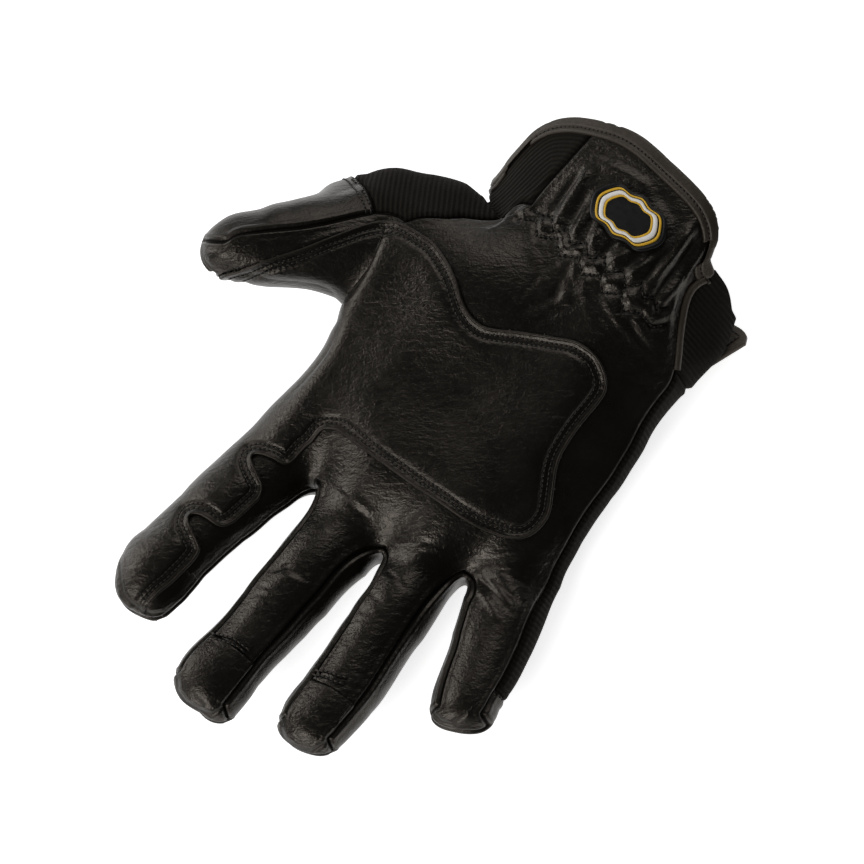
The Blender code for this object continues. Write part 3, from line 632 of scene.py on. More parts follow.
# The two zigzag rows of the gathered wrist
GATHER_LOWER = (
    (517, 218), (536, 220), (537, 236), (557, 238), (559, 255), (579, 257), (581, 274), (600, 275),
    (602, 292), (621, 293), (624, 310), (641, 314), (652, 327), (666, 325),
)
GATHER_UPPER = (
    (530, 211), (552, 216), (552, 230), (568, 230), (570, 244), (586, 242), (587, 258), (604, 257),
    (605, 272), (623, 270), (625, 287), (641, 284), (643, 297), (656, 298), (657, 310), (668, 309),
)
GATHER_PUFFS = (
    (541, 226), (556, 224), (562, 246), (577, 249), (583, 264), (596, 266), (605, 282), (616, 282),
    (627, 299), (638, 300), (648, 313), (660, 315), (525, 214),
)
EXTRA_STITCH_ROWS = {
    # rows of stitches on the leather, in pixels
    "middle_tip_seam": ((211, 634), (222, 636), (234, 639), (250, 651)),
    "middle_tip_second": ((214, 639), (226, 642), (238, 647), (247, 654)),
    "ring_tip_seam": ((315, 671), (326, 672), (338, 676), (351, 678)),
    "ring_tip_second": ((312, 675), (324, 677), (336, 682), (347, 685)),
}


def line_distance(spots, line):
    """Distance of each pixel to a line of pixels, how far along the line it falls (0 to 1), and its side."""
    best = np.full(len(spots), 1e9)
    share = np.zeros(len(spots))
    side = np.ones(len(spots))
    corners = np.array(line, float)
    lengths = np.linalg.norm(np.diff(corners, axis=0), axis=1)
    total = lengths.sum()
    done = 0.0
    for start, end, length in zip(corners[:-1], corners[1:], lengths):
        way = (end - start) / length
        reach = np.clip((spots - start) @ way, 0.0, length)
        gap = np.linalg.norm(spots - start - reach[:, None] * way, axis=1)
        nearer = gap < best
        best = np.where(nearer, gap, best)
        share = np.where(nearer, (done + reach) / total, share)
        turned = (spots - start) @ np.array((-way[1], way[0]))
        side = np.where(nearer, np.where(turned < 0, -1.0, 1.0), side)
        done += length
    return best, share, side


def fold_heights(spots, facing, folds):
    """The height that the folds give each vertex that faces the camera."""
    heights = np.zeros(len(spots))
    for height, width, *line in folds:
        corners = np.array(line, float)
        low, high = corners.min(0) - width * 3, corners.max(0) + width * 3
        near = np.where(facing & (spots > low).all(1) & (spots < high).all(1))[0]
        if len(near):
            gap, share = line_distance(spots[near], line)[:2]
            ends = np.clip(np.minimum(share, 1 - share) * 5, 0.0, 1.0)
            profile = np.exp(-(gap / width) ** 2) * (0.25 + 0.75 * ends)
            heights[near] += height * MM * profile
    return heights


def smoothstep(value, low, high):
    t = np.clip((value - low) / (high - low), 0.0, 1.0)
    return t * t * (3 - 2 * t)


GATHER_DEPTH = 0.0015
GATHER_WIDTH = 2.1
PUFF_HEIGHT = 0.0010
PUFF_WIDTH = 7.0
PIXEL_SIZE = 0.00033
SEAM_ROLL = 0.00036
SLOW_WAVES = (45.0, 0.00030)
QUICK_WAVES = (140.0, 0.00007)
KNIT_SHARE = 0.4
# The distance given to points with no seam near
FAR = 0.01
FORM = {}


def edge_tree(mesh, edges):
    """A search tree over points on the given edges, four to an edge."""
    tree = KDTree(len(edges) * 4)
    for index, edge in enumerate(edges):
        start, end = edge.verts[0].co, edge.verts[1].co
        for step in range(4):
            tree.insert(start.lerp(end, step / 4), index * 4 + step)
    tree.balance()
    return tree


def nearest(tree, points):
    return np.array([tree.find(point)[2] for point in points])


def panel_numbers(*names):
    return {PANEL[name] for name in names}


SEWN_TOGETHER = panel_numbers("palm_leather", "middle_tip", "ring_tip", "thumb_palm_leather")
SIDE_WALLS = panel_numbers(*[name for name in PANELS if name.startswith("fourchette")])
TIPS = panel_numbers(*[name for name in PANELS + COVERED if "_tip" in name])


def sewn_edges(mesh):
    """The edges where two panels meet in a sunk seam."""
    seams = []
    for edge in mesh.edges:
        if len(edge.link_faces) != 2:
            continue
        first, second = (face.material_index for face in edge.link_faces)
        if first == second or PANEL["cuff_binding"] in (first, second):
            continue
        ends_wall = (first in SIDE_WALLS and second in TIPS) or (second in SIDE_WALLS and first in TIPS)
        level = abs(edge.link_faces[0].normal.z) + abs(edge.link_faces[1].normal.z) < 0.5
        if not (first in SEWN_TOGETHER and second in SEWN_TOGETHER) and not (ends_wall and level):
            seams.append(edge)
    return seams


def pressed(spots, seen):
    """The heights of the folds and gathers that the photograph shows, and the fingertip seams' distance."""
    heights = fold_heights(spots, seen, CUFF_FOLDS + WRIST_FOLDS + PALM_FOLDS + FINGER_FOLDS + THUMB_FOLDS)
    places = np.where(seen)[0]
    for line in (GATHER_LOWER, GATHER_UPPER):
        off = line_distance(spots[places], line)[0]
        heights[places] -= GATHER_DEPTH * np.exp(-(off / GATHER_WIDTH) ** 2)
    for spot in GATHER_PUFFS:
        off = np.linalg.norm(spots - np.array(spot), axis=1)
        heights += np.where(seen, PUFF_HEIGHT * np.exp(-(off / PUFF_WIDTH) ** 2), 0.0)
    rim = np.full(len(spots), FAR)
    for line in RIMS:
        off, share, side = line_distance(spots[places], line)
        away = off * PIXEL_SIZE
        rim[places] = np.where(away < np.abs(rim[places]), away * side, rim[places])
    return heights, rim


def unevenness(points, soft, gap):
    """The soft unevenness of worn leather, slighter in the knit and toward the seams."""
    uneven = np.zeros(len(points))
    for index, point in enumerate(points):
        place = Vector(point)
        slow = noise.noise(place * SLOW_WAVES[0]) * SLOW_WAVES[1]
        slow += noise.noise(place * QUICK_WAVES[0] + Vector((7, 3, 1))) * QUICK_WAVES[1]
        uneven[index] = slow * (KNIT_SHARE if soft[index] else 1.0) * min(1.0, gap[index] / 0.004)
    return uneven


def prepare_form():
    """Press seams, folds and gathers into the smooth form; keep it with its measures for the pieces."""
    sizes = bpy.context.scene.glove_sizes
    data = smooth_form()
    mesh = bmesh.new()
    mesh.from_mesh(data)
    bpy.data.meshes.remove(data)
    mesh.verts.ensure_lookup_table()
    mesh.faces.ensure_lookup_table()
    mesh.normal_update()
    co = grabbed(np.array([vertex.co for vertex in mesh.verts]))
    for vertex, place in zip(mesh.verts, co):
        vertex.co = place
    mesh.normal_update()
    normal = np.array([vertex.normal for vertex in mesh.verts])
    gap = nearest(edge_tree(mesh, sewn_edges(mesh)), [vertex.co for vertex in mesh.verts])
    panels = [{face.material_index for face in vertex.link_faces} for vertex in mesh.verts]
    knits = panel_numbers(*KNITS)
    soft = np.array([bool(found & knits) for found in panels])
    leather = np.array([bool(found & SEWN_TOGETHER) for found in panels])
    facing = (normal * (np.array(VIEW_EYE) - co)).sum(1) > 0
    press, rim = pressed(pixels(co), facing & leather)
    press *= smoothstep(gap, 0.0, 0.003)
    width = sizes.seam_width
    roll = SEAM_ROLL * np.exp(-((gap - 2.1 * width) / width) ** 2)
    height = -sizes.seam_depth * np.exp(-(gap / width) ** 2)
    height += np.where(soft, roll * 0.5, roll)
    height += press
    level = co + normal * unevenness(co, soft, gap)[:, None]
    co = level + normal * height[:, None]
    for places in (level, co):
        low = places[:, 2] < 0.0
        places[low, 2] *= 0.05
    marks = ("ridge", "seam", "rim", "open")
    for name in marks:
        mesh.verts.layers.float.new(name)
    mesh.verts.layers.float_vector.new("even")
    ridge, seam, round_tip, edge_mark = (mesh.verts.layers.float[name] for name in marks)
    even = mesh.verts.layers.float_vector["even"]
    for vertex, flat in zip(mesh.verts, level):
        vertex.co = flat
    FORM["even"] = BVHTree.FromBMesh(mesh)
    for vertex, place, flat, lift, off, around in zip(mesh.verts, co, level, press, gap, rim):
        vertex.co = place
        vertex[even] = flat
        vertex[ridge] = lift / MM
        vertex[seam] = off
        vertex[round_tip] = around
        vertex[edge_mark] = 1.0 if vertex.is_boundary else 0.0
    mesh.normal_update()
    FORM["mesh"] = mesh


def form():
    """The finished form, made when a piece first asks for it."""
    if "mesh" not in FORM:
        prepare_form()
    return FORM["mesh"]


def panel(*names):
    """The form's faces of the named panels, as a mesh of its own."""
    wanted = panel_numbers(*names)
    mesh = form().copy()
    bmesh.ops.delete(mesh, geom=[face for face in mesh.faces if face.material_index not in wanted],
                     context="FACES")
    for face in mesh.faces:
        face.material_index = 0
    return mesh


def finished(mesh, name, material, nodes=(), wall=None, side=-1.0):
    """Make the mesh a piece that rides on the part's one body and stands for the CAD nodes."""
    data = bpy.data.meshes.new(name)
    mesh.to_mesh(data)
    mesh.free()
    for face in data.polygons:
        face.use_smooth = True
    data.materials.append(material)
    piece = bpy.data.objects.new(name, data)
    bpy.context.scene.collection.objects.link(piece)
    if wall:
        thick = piece.modifiers.new("wall", "SOLIDIFY")
        thick.thickness = wall
        thick.offset = side
    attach(piece, "root")
    if nodes:
        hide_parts(*nodes)
    return piece


# Materials

def node(tree, kind, settings=None, **inputs):
    """Add a shader node. Inputs are sockets to link or values to set, named with underscores for spaces."""
    made = tree.nodes.new("ShaderNode" + kind)
    for key, value in (settings or {}).items():
        setattr(made, key, value)
    for key, value in inputs.items():
        if key[0] == "i" and key[1:].isdigit():
            socket = made.inputs[int(key[1:])]
        else:
            socket = made.inputs[key.replace("_", " ")]
        if isinstance(value, bpy.types.NodeSocket):
            tree.links.new(value, socket)
        else:
            socket.default_value = value
    return made


def recipe(name):
    material = bpy.data.materials.new(name)
    material.use_nodes = True
    tree = material.node_tree
    tree.nodes.clear()
    shader = node(tree, "BsdfPrincipled")
    node(tree, "OutputMaterial", Surface=shader.outputs[0])
    where = node(tree, "TexCoord").outputs["Object"]
    return material, tree, shader, where


def maths(tree, operation, first, second=0.0, clamp=False):
    return node(tree, "Math", {"operation": operation, "use_clamp": clamp}, i0=first, i1=second).outputs[0]


def mixed(tree, factor, first, second):
    """A colour between two colours."""
    return node(tree, "Mix", {"data_type": "RGBA"}, i0=factor, i6=first, i7=second).outputs[2]


def ranged(tree, value, low, high, to_low, to_high):
    return node(tree, "MapRange", {}, i0=value, i1=low, i2=high, i3=to_low, i4=to_high).outputs[0]


def stacked(tree, parts):
    """The sum of patterns, each times its height in metres."""
    relief = 0.0
    for pattern, height in parts:
        relief = maths(tree, "ADD", relief, maths(tree, "MULTIPLY", pattern, height))
    return relief


def bumped(tree, shader, relief, strength):
    bump = node(tree, "Bump", {}, Strength=strength, Distance=1.0, Height=relief).outputs[0]
    tree.links.new(bump, shader.inputs["Normal"])


def sewn_marks(tree, names):
    """How deep in a seam a point lies and how far up the roll beside it, both from 0 to 1."""
    gap = FAR
    for name in names:
        off = node(tree, "Attribute", {"attribute_name": name}).outputs["Fac"]
        gap = maths(tree, "MINIMUM", gap, maths(tree, "ABSOLUTE", off))
    groove = ranged(tree, gap, 0.00012, 0.00060, 1.0, 0.0)
    away = maths(tree, "ABSOLUTE", maths(tree, "SUBTRACT", gap, 0.0013))
    return groove, maths(tree, "SUBTRACT", 1.0, maths(tree, "DIVIDE", away, 0.0007), clamp=True)


LEATHER_TINT = (1.0, 0.89, 0.77, 1.0)
LEATHERS = {
    # lightness (above 1 a lighter copy of the leather, painted light), roughness, strength of the grain, seam
    # measures, strength of the drawn wrinkles
    "palm_leather": (1.0, 0.29, 1.0, ("seam", "rim"), 0.8),
    "side_leather": (1.0, 0.34, 0.9, ("seam",), 0.5),
    "patch_leather": (1.0, 0.31, 1.0, ("seam", "rim"), 1.0),
    # The patch's rolled edge, a lighter copy of the leather as painted highlight
    "edge_leather_painted_highlight": (2.0, 0.40, 0.8, (), 0.0),
    # The binding and the vent's roll, a lighter copy of the leather as painted light
    "binding_leather": (9.0, 0.46, 0.9, (), 0.0),
    # The strap, a still lighter copy of the leather as painted light on it
    "strap_leather_painted_light": (16.0, 0.46, 0.9, (), 0.0),
}


def leather_material(name, colour, gloss, grain, seams, drawn_grain):
    """Black grain leather: pores, fine creases, cloudy colour, ridges rubbed smoother and painted lighter as
    painted highlight, and painted shade in the seams' grooves and the folds' valleys.
    """
    material, tree, shader, where = recipe(name)
    clouds = node(tree, "TexNoise", {}, Vector=where, Scale=70.0, Detail=4.0, Roughness=0.6).outputs[0]
    pores = node(tree, "TexVoronoi", {"feature": "F1"}, Vector=where, Scale=1250.0).outputs["Distance"]
    cells = node(tree, "TexVoronoi", {"feature": "DISTANCE_TO_EDGE"}, Vector=where,
                 Scale=620.0).outputs["Distance"]
    fine = node(tree, "TexNoise", {}, Vector=where, Scale=900.0, Detail=3.0).outputs[0]
    creases = node(tree, "TexNoise", {}, Vector=where, Scale=300.0, Detail=6.0, Roughness=0.66,
                   Distortion=1.2).outputs[0]
    valley = ranged(tree, creases, 0.38, 0.54, 0.0, 1.0)
    drawn = node(tree, "Mapping", {"vector_type": "TEXTURE"}, Vector=where, Rotation=(0.0, 0.0, 0.73),
                 Scale=(2.8, 1.0, 1.0)).outputs[0]
    wrinkles = node(tree, "TexNoise", {}, Vector=drawn, Scale=640.0, Detail=3.0, Roughness=0.6,
                    Distortion=0.5).outputs[0]
    patches = node(tree, "TexNoise", {}, Vector=where, Scale=26.0, Detail=2.0).outputs[0]
    drawn_in = maths(tree, "MULTIPLY", wrinkles, ranged(tree, patches, 0.38, 0.60, 0.4, 1.0))
    edge = ranged(tree, cells, 0.0, 0.16, 0.0, 1.0)
    ridge = node(tree, "Attribute", {"attribute_name": "ridge"}).outputs["Fac"]
    # On the folds' and gathers' tops the colour is painted lighter as painted highlight; the roughness is
    # lowered there for rubbing
    rubbed_and_painted_light = ranged(tree, ridge, 0.1, 1.5, 0.0, 1.0)
    # In the folds' valleys the colour is painted darker, as painted shade
    sunk = ranged(tree, ridge, -1.6, -0.2, 0.7, 0.0)
    groove, roll = sewn_marks(tree, seams)
    dark = tuple(channel * 0.62 for channel in colour)
    # The lighter copy of the colour, for the painted highlight on the folds' tops
    light = tuple(min(1.0, channel * 1.7) for channel in colour)
    body = mixed(tree, ranged(tree, clouds, 0.35, 0.65, 0.0, 1.0), (*dark, 1), (*colour, 1))
    body = mixed(tree, maths(tree, "MULTIPLY", rubbed_and_painted_light, 0.6), body, (*light, 1))
    body = mixed(tree, edge, (*dark, 1), body)
    # Painted shade: the colour goes to near black in the seams' grooves and the folds' valleys
    shade = maths(tree, "MAXIMUM", maths(tree, "MULTIPLY", groove, 0.85), sunk)
    tree.links.new(mixed(tree, shade, body, (0.0008, 0.0007, 0.0006, 1)), shader.inputs["Base Color"])
    rough = ranged(tree, clouds, 0.3, 0.7, gloss - 0.05, gloss + 0.05)
    rough = maths(tree, "SUBTRACT", rough, maths(tree, "MULTIPLY", rubbed_and_painted_light, 0.06))
    rough = maths(tree, "ADD", rough, maths(tree, "MULTIPLY", fine, 0.06))
    rough = maths(tree, "ADD", rough, maths(tree, "MULTIPLY", shade, 0.3))
    tree.links.new(rough, shader.inputs["Roughness"])
    shader.inputs["Specular IOR Level"].default_value = 0.4
    shader.inputs["Specular Tint"].default_value = LEATHER_TINT
    relief = stacked(tree, (
        (edge, 0.000014 * grain), (pores, 0.000055 * grain), (valley, 0.000040 * grain),
        (drawn_in, 0.000520 * drawn_grain), (fine, 0.000100 * grain), (roll, 0.00016), (groove, -0.00030)))
    bumped(tree, shader, relief, 0.8)
    return material


def knit_material(name, colour, pitch):
    """Ribbed knit: ribs across the piece's own rib measure with painted shade in their valleys and painted
    highlight on their crests, small loops along them, painted shade in the seams' grooves, and fuzzy sheen.
    """
    material, tree, shader, where = recipe(name)
    measure = node(tree, "Attribute", {"attribute_name": "rib"}).outputs["Fac"]
    turn = maths(tree, "MULTIPLY", measure, 2 * math.pi / pitch)
    wobble = node(tree, "TexNoise", {}, Vector=where, Scale=160.0, Detail=2.0).outputs[0]
    turn = maths(tree, "ADD", turn, maths(tree, "MULTIPLY", wobble, 1.6))
    wave = maths(tree, "MULTIPLY", maths(tree, "ADD", maths(tree, "SINE", turn), 1.0), 0.5)
    loops = node(tree, "TexVoronoi", {"feature": "F1"}, Vector=where, Scale=1100.0).outputs["Distance"]
    yarn = node(tree, "TexNoise", {}, Vector=where, Scale=2200.0, Detail=3.0).outputs[0]
    # The ribs are painted darker in their valleys and lighter on their crests: painted shade and painted
    # highlight following the ribs' bump
    dark = tuple(channel * 0.35 for channel in colour)
    light = tuple(channel * 1.9 for channel in colour)
    body = mixed(tree, wave, (*dark, 1), (*light, 1))
    body = mixed(tree, ranged(tree, yarn, 0.35, 0.65, 0.0, 0.5), body, (*colour, 1))
    # Painted shade: near black in the seams' grooves
    groove = sewn_marks(tree, ("seam",))[0]
    body = mixed(tree, maths(tree, "MULTIPLY", groove, 0.9), body, (0.0006, 0.0005, 0.0004, 1))
    tree.links.new(body, shader.inputs["Base Color"])
    shader.inputs["Roughness"].default_value = 0.92
    shader.inputs["Specular IOR Level"].default_value = 0.15
    shader.inputs["Specular Tint"].default_value = LEATHER_TINT
    shader.inputs["Sheen Weight"].default_value = 0.012
    shader.inputs["Sheen Tint"].default_value = LEATHER_TINT
    shader.inputs["Sheen Roughness"].default_value = 0.5
    relief = stacked(tree, ((wave, 0.00028), (loops, 0.00010), (yarn, 0.00006)))
    bumped(tree, shader, relief, 0.9)
    return material


def moulded_material(name, colour, roughness, bumps=0.00002):
    """Moulded rubber or ink with a slight mottle."""
    material, tree, shader, where = recipe(name)
    mottle = node(tree, "TexNoise", {}, Vector=where, Scale=600.0, Detail=4.0).outputs[0]
    dark = tuple(channel * 0.8 for channel in colour)
    tree.links.new(mixed(tree, mottle, (*dark, 1), (*colour, 1)), shader.inputs["Base Color"])
    tree.links.new(ranged(tree, mottle, 0.3, 0.7, roughness - 0.06, roughness + 0.06),
                   shader.inputs["Roughness"])
    shader.inputs["Specular IOR Level"].default_value = 0.3
    bumped(tree, shader, stacked(tree, ((mottle, bumps),)), 0.6)
    return material


def thread_material(name, colour):
    """Twisted sewing thread."""
    material, tree, shader, where = recipe(name)
    twist = node(tree, "TexNoise", {}, Vector=where, Scale=3500.0, Detail=2.0).outputs[0]
    light = tuple(channel * 2.0 for channel in colour)
    tree.links.new(mixed(tree, twist, (*colour, 1), (*light, 1)), shader.inputs["Base Color"])
    shader.inputs["Roughness"].default_value = 0.5
    shader.inputs["Specular Tint"].default_value = LEATHER_TINT
    bumped(tree, shader, stacked(tree, ((twist, 0.00008),)), 0.7)
    return material


def finish(name):
    """The material of that name, made once."""
    made = "glove_" + name
    if made in bpy.data.materials:
        return bpy.data.materials[made]
    colours = bpy.context.scene.glove_colours
    sizes = bpy.context.scene.glove_sizes
    if name in LEATHERS:
        lightness, gloss, grain, seams, drawn_grain = LEATHERS[name]
        # A lightness above 1 gives a lighter copy of the leather, painted light
        leather = tuple(channel * lightness for channel in colours.leather)
        return leather_material(made, leather, gloss, grain, seams, drawn_grain)
    # The needle's holes: a near-black matte finish, painted shade in the holes
    if name == "needle_hole_shade":
        return moulded_material(made, (0.0007, 0.0006, 0.0005), 0.95)
    if name == "knit":
        return knit_material(made, tuple(colours.knit), sizes.rib_pitch)
    if name == "thread":
        return thread_material(made, tuple(colours.thread))
    if name == "badge_rubber":
        return moulded_material(made, tuple(colours.rubber), 0.42, 0.00003)
    if name == "badge_gold":
        return moulded_material(made, tuple(colours.gold), 0.45)
    if name == "badge_white":
        return moulded_material(made, tuple(colours.white), 0.5)
    raise ValueError("no finish is named " + name)


# The padded palm patch

PATCH_FACES = Vector((-0.309, 0.139, 0.941)).normalized()
PATCH_LEVEL = 80
PATCH_WALL = 0.00045
# The rolled edge: radius, place inward of the outline and over the leather, and roll in the surface
EDGE_RADIUS = 0.00052
EDGE_INWARD = 0.0004
EDGE_RISE = 0.00075
EDGE_ROLL = 0.00030
ROW_DEPTH = 0.00042
PATCH_EDGE = (
    # the patch's edge in the photograph's pixels: along the thumb and round its root
    (221, 275), (232, 271), (246, 267), (267, 259), (290, 252), (308, 246), (323, 240), (345, 232),
    (362, 226), (380, 222), (395, 222), (408, 227), (420, 234), (432, 242), (440, 251), (447, 261),
    (453, 272), (458, 284), (461, 294), (464, 303), (468, 311), (473, 318), (480, 324), (488, 328),
    # the heel of the hand and its outer side
    (505, 330.5), (520, 332), (540, 335), (555, 337.5), (570, 340), (580, 343.5), (590, 350), (598, 358),
    (603, 368), (606, 378), (606, 388), (603, 396), (596, 406), (585, 419), (575, 432), (566, 446),
    (560, 457), (556, 470), (554, 485), (552, 500), (550, 512), (545, 522), (536, 532), (525, 538),
    # below the fingers' roots
    (512, 539), (500, 536), (480, 528), (460, 517), (440, 503), (420, 490), (400, 476), (380, 461.5),
    (360, 447), (350, 439.5), (340, 432), (334, 429.5), (328, 429), (322, 431), (317, 437),
    # the wavy edge along the index finger
    (312, 443), (305, 448), (298, 456), (292, 462), (287, 464.5), (282, 464), (275, 460), (268, 457),
    (260, 455), (254, 456), (252, 460), (254, 467), (258, 475), (262, 483), (262, 491), (259, 498),
    (252, 505), (242, 514), (234, 521), (227, 525), (221, 526.5), (214, 524), (207, 519), (200, 515.5),
    (194, 515), (190, 517.5), (189, 522), (192, 530), (196, 538), (199, 545), (199, 551), (195, 558),
    (188, 566), (180, 574), (170, 584), (162, 590), (155, 597), (149, 604),
    # outside the glove
    (145, 612), (138, 632), (84, 632), (84, 560), (150, 480), (292, 330), (326, 318), (300, 304),
    (212, 298), (213, 284),
)
PATCH_OUTSIDE = 10
PATCH_STEPS = 4
PATCH_ROWS = (0.0022, 0.0039)


def smooth_outline(points, steps):
    """A closed Catmull-Rom curve through plan points."""
    count = len(points)
    curve = []
    for index in range(count):
        before, start, end, after = (Vector(points[(index + shift) % count]) for shift in (-1, 0, 1, 2))
        for step in range(steps):
            t = step / steps
            curve.append(start + ((end - before) * t + (before * 2 - start * 5 + end * 4 - after) * t ** 2
                                  + (start * 3 - before - end * 3 + after) * t ** 3) / 2)
    return curve


def patch_outline():
    """The patch's outline on its level plane, from where the photograph shows it."""
    spots = []
    for x, y in PATCH_EDGE:
        way = sight(x, y)
        hit = FORM["even"].ray_cast(VIEW_EYE, way)[0]
        if hit is None:
            hit = VIEW_EYE + way * ((upward(PATCH_LEVEL) - VIEW_EYE.z) / way.z)
        spots.append(seen_flat(hit))
    return smooth_outline(spots, PATCH_STEPS)


def outline_tree(outline):
    tree = KDTree(len(outline))
    for index, point in enumerate(outline):
        tree.insert((point.x, point.y, 0.0), index)
    tree.balance()
    return tree


def inward_ways(outline):
    """The inward direction at each point of the outline."""
    count = len(outline)
    area = sum(outline[index].cross(outline[(index + 1) % count]) for index in range(count))
    turn = 1.0 if area > 0 else -1.0
    ways = []
    for index in range(count):
        way = (outline[(index + 1) % count] - outline[index - 1]).normalized()
        ways.append(Vector((-way.y, way.x)) * turn)
    return ways


def seen_flat(point):
    """The plan point of the patch's level plane that lies under a point, along the way the patch faces."""
    return (point - PATCH_FACES * ((point.z - upward(PATCH_LEVEL)) / PATCH_FACES.z)).to_2d()


def dropped(tree, spot):
    """Where a plan point of the patch's level plane meets a surface."""
    start = Vector((spot.x, spot.y, upward(PATCH_LEVEL))) + PATCH_FACES * 0.1
    return tree.ray_cast(start, -PATCH_FACES)[:2]


def make_palm_patch():
    sizes = bpy.context.scene.glove_sizes
    mesh = panel("palm_leather", "thumb_palm_leather")
    even = mesh.verts.layers.float_vector["even"]
    seam = mesh.verts.layers.float["seam"]
    for vertex in mesh.verts:
        vertex.co = vertex[even]
    mesh.normal_update()
    base = BVHTree.FromBMesh(mesh)
    outline = patch_outline()
    tree = outline_tree(outline)
    ways = inward_ways(outline)

    def inside(point):
        spot = seen_flat(point)
        index, gap = tree.find((spot.x, spot.y, 0.0))[1:]
        return gap if (spot - outline[index]).dot(ways[index]) > 0 else -gap

    outer = [face for face in mesh.faces
             if face.normal.dot(PATCH_FACES) < -0.2 or inside(face.calc_center_median()) < 0]
    bmesh.ops.delete(mesh, geom=outer, context="FACES")
    near = [edge for edge in mesh.edges if abs(inside(edge.verts[0].co)) < 0.0055]
    bmesh.ops.subdivide_edges(mesh, edges=near, cuts=1, use_grid_fill=True)
    bmesh.ops.triangulate(mesh, faces=[face for face in mesh.faces if len(face.verts) > 4])
    mesh.normal_update()
    depth = {}
    for vertex in mesh.verts:
        within = inside(vertex.co)
        if vertex.is_boundary and abs(within) < 0.0012:
            spot = seen_flat(vertex.co)
            index = tree.find((spot.x, spot.y, 0.0))[1]
            hit = dropped(base, outline[index])[0]
            if hit is not None and (hit - vertex.co).length < 0.003:
                vertex.co = hit
                within = 0.0
        depth[vertex] = within
    mesh.normal_update()
    lifts = {}
    for vertex, within in depth.items():
        rise = sizes.pad_height * (0.42 + 0.58 * (1 - math.exp(-max(within - 0.0034, 0.0) / 0.0016)))
        roll = EDGE_ROLL * math.exp(-((within - 0.0006) / 0.0007) ** 2)
        valley = sum(ROW_DEPTH * math.exp(-((within - row) / 0.00050) ** 2) for row in PATCH_ROWS)
        sewn = min(1.0, max(0.0, vertex[seam] - 0.0004) / 0.0022)
        lifts[vertex] = vertex.normal * ((rise + roll - valley) * sewn)
    for vertex, lift in lifts.items():
        vertex.co += lift
    FORM["patch"] = BVHTree.FromBMesh(mesh)
    patch = finished(mesh, "palm_patch_piece", finish("patch_leather"),
                     ["palm_patch"], PATCH_WALL)
    visible = outline[:(len(PATCH_EDGE) - PATCH_OUTSIDE - 1) * PATCH_STEPS]
    rolled = []
    for spot, way_in in list(zip(visible, ways))[::3]:
        hit, way = dropped(base, spot + way_in * EDGE_INWARD)
        if hit is not None:
            rolled.append(hit + way * EDGE_RISE)
    # The rolled edge is painted lighter, as painted highlight along it
    make_tube("palm_patch_edge", rolled, EDGE_RADIUS, "edge_leather_painted_highlight")
    rows = []
    for offset in PATCH_ROWS:
        row = []
        for index, spot in enumerate(visible):
            place = spot + ways[index] * offset
            if tree.find((place.x, place.y, 0.0))[2] > offset * 0.96:
                hit, way = dropped(FORM["patch"], place)
                if hit is not None:
                    row.append((hit, way))
        rows.append(row)
    FORM["patch_rows"] = rows


def swept(name, lines, radius, kind, roundness):
    """A mesh of round tubes along open lines; each point of a line has a place and a share of the radius."""
    curve = bpy.data.curves.new(name, "CURVE")
    curve.dimensions = "3D"
    curve.bevel_depth = radius
    curve.bevel_resolution = roundness
    curve.resolution_u = 2
    curve.use_fill_caps = True
    for line in lines:
        spline = curve.splines.new(kind)
        targets = spline.bezier_points if kind == "BEZIER" else spline.points
        targets.add(len(line) - 1)
        for target, (place, share) in zip(targets, line):
            target.radius = share
            if kind == "BEZIER":
                target.co = place
                target.handle_left_type = target.handle_right_type = "AUTO"
            else:
                target.co = (*place, 1.0)
    holder = bpy.data.objects.new(name + "_line", curve)
    bpy.context.scene.collection.objects.link(holder)
    data = baked(holder)
    bpy.data.objects.remove(holder)
    mesh = bmesh.new()
    mesh.from_mesh(data)
    bpy.data.meshes.remove(data)
    return mesh


def make_tube(name, path, radius, material, nodes=()):
    """A smooth round roll along a path."""
    mesh = swept(name, [[(place, 1.0) for place in path]], radius, "BEZIER", 3)
    return finished(mesh, name, finish(material), nodes)


# Leather and knit panels

def add_ribs(mesh, measure):
    ribs = mesh.verts.layers.float.new("rib")
    for vertex in mesh.verts:
        vertex[ribs] = measure(vertex.co)


def make_panel(name, material, wall, ribs=None):
    mesh = panel(name) if name != "palm_leather" else panel(name, *COVERED)
    if ribs:
        add_ribs(mesh, ribs)
    return finished(mesh, name + "_piece", finish(material), [name], wall)


TIP_PATCH_WALL = 0.0004
TIP_PATCH_RISE = 0.00055
TIP_ROW_DEPTH = 0.00018


def make_tip_patches():
    """The second layer over the middle and ring fingertips."""
    for name in COVERED:
        mesh = panel(name)
        border = edge_tree(mesh, [edge for edge in mesh.edges if edge.is_boundary])
        moved = []
        for vertex in mesh.verts:
            gap = border.find(vertex.co)[2]
            lift = TIP_PATCH_RISE * min(1.0, 0.25 + gap / 0.0012)
            lift -= TIP_ROW_DEPTH * math.exp(-((gap - 0.0022) / 0.0006) ** 2)
            moved.append((vertex, vertex.normal * lift))
        for vertex, move in moved:
            vertex.co += move
        finished(mesh, name + "_patch_piece", finish("patch_leather"),
                 [name + "_patch"], TIP_PATCH_WALL)


def chained(edges):
    """Edges put end to end, as lists of vertices."""
    left = set(edges)
    lines = []
    while left:
        ends = {}
        for edge in left:
            for corner in edge.verts:
                ends.setdefault(corner, []).append(edge)
        start = next((corner for corner in sorted(ends, key=lambda v: v.index) if len(ends[corner]) == 1),
                     min(ends, key=lambda v: v.index))
        line = [start]
        while True:
            edge = next((edge for edge in ends[line[-1]] if edge in left), None)
            if edge is None:
                break
            left.discard(edge)
            line.append(edge.other_vert(line[-1]))
        lines.append(line)
    return lines


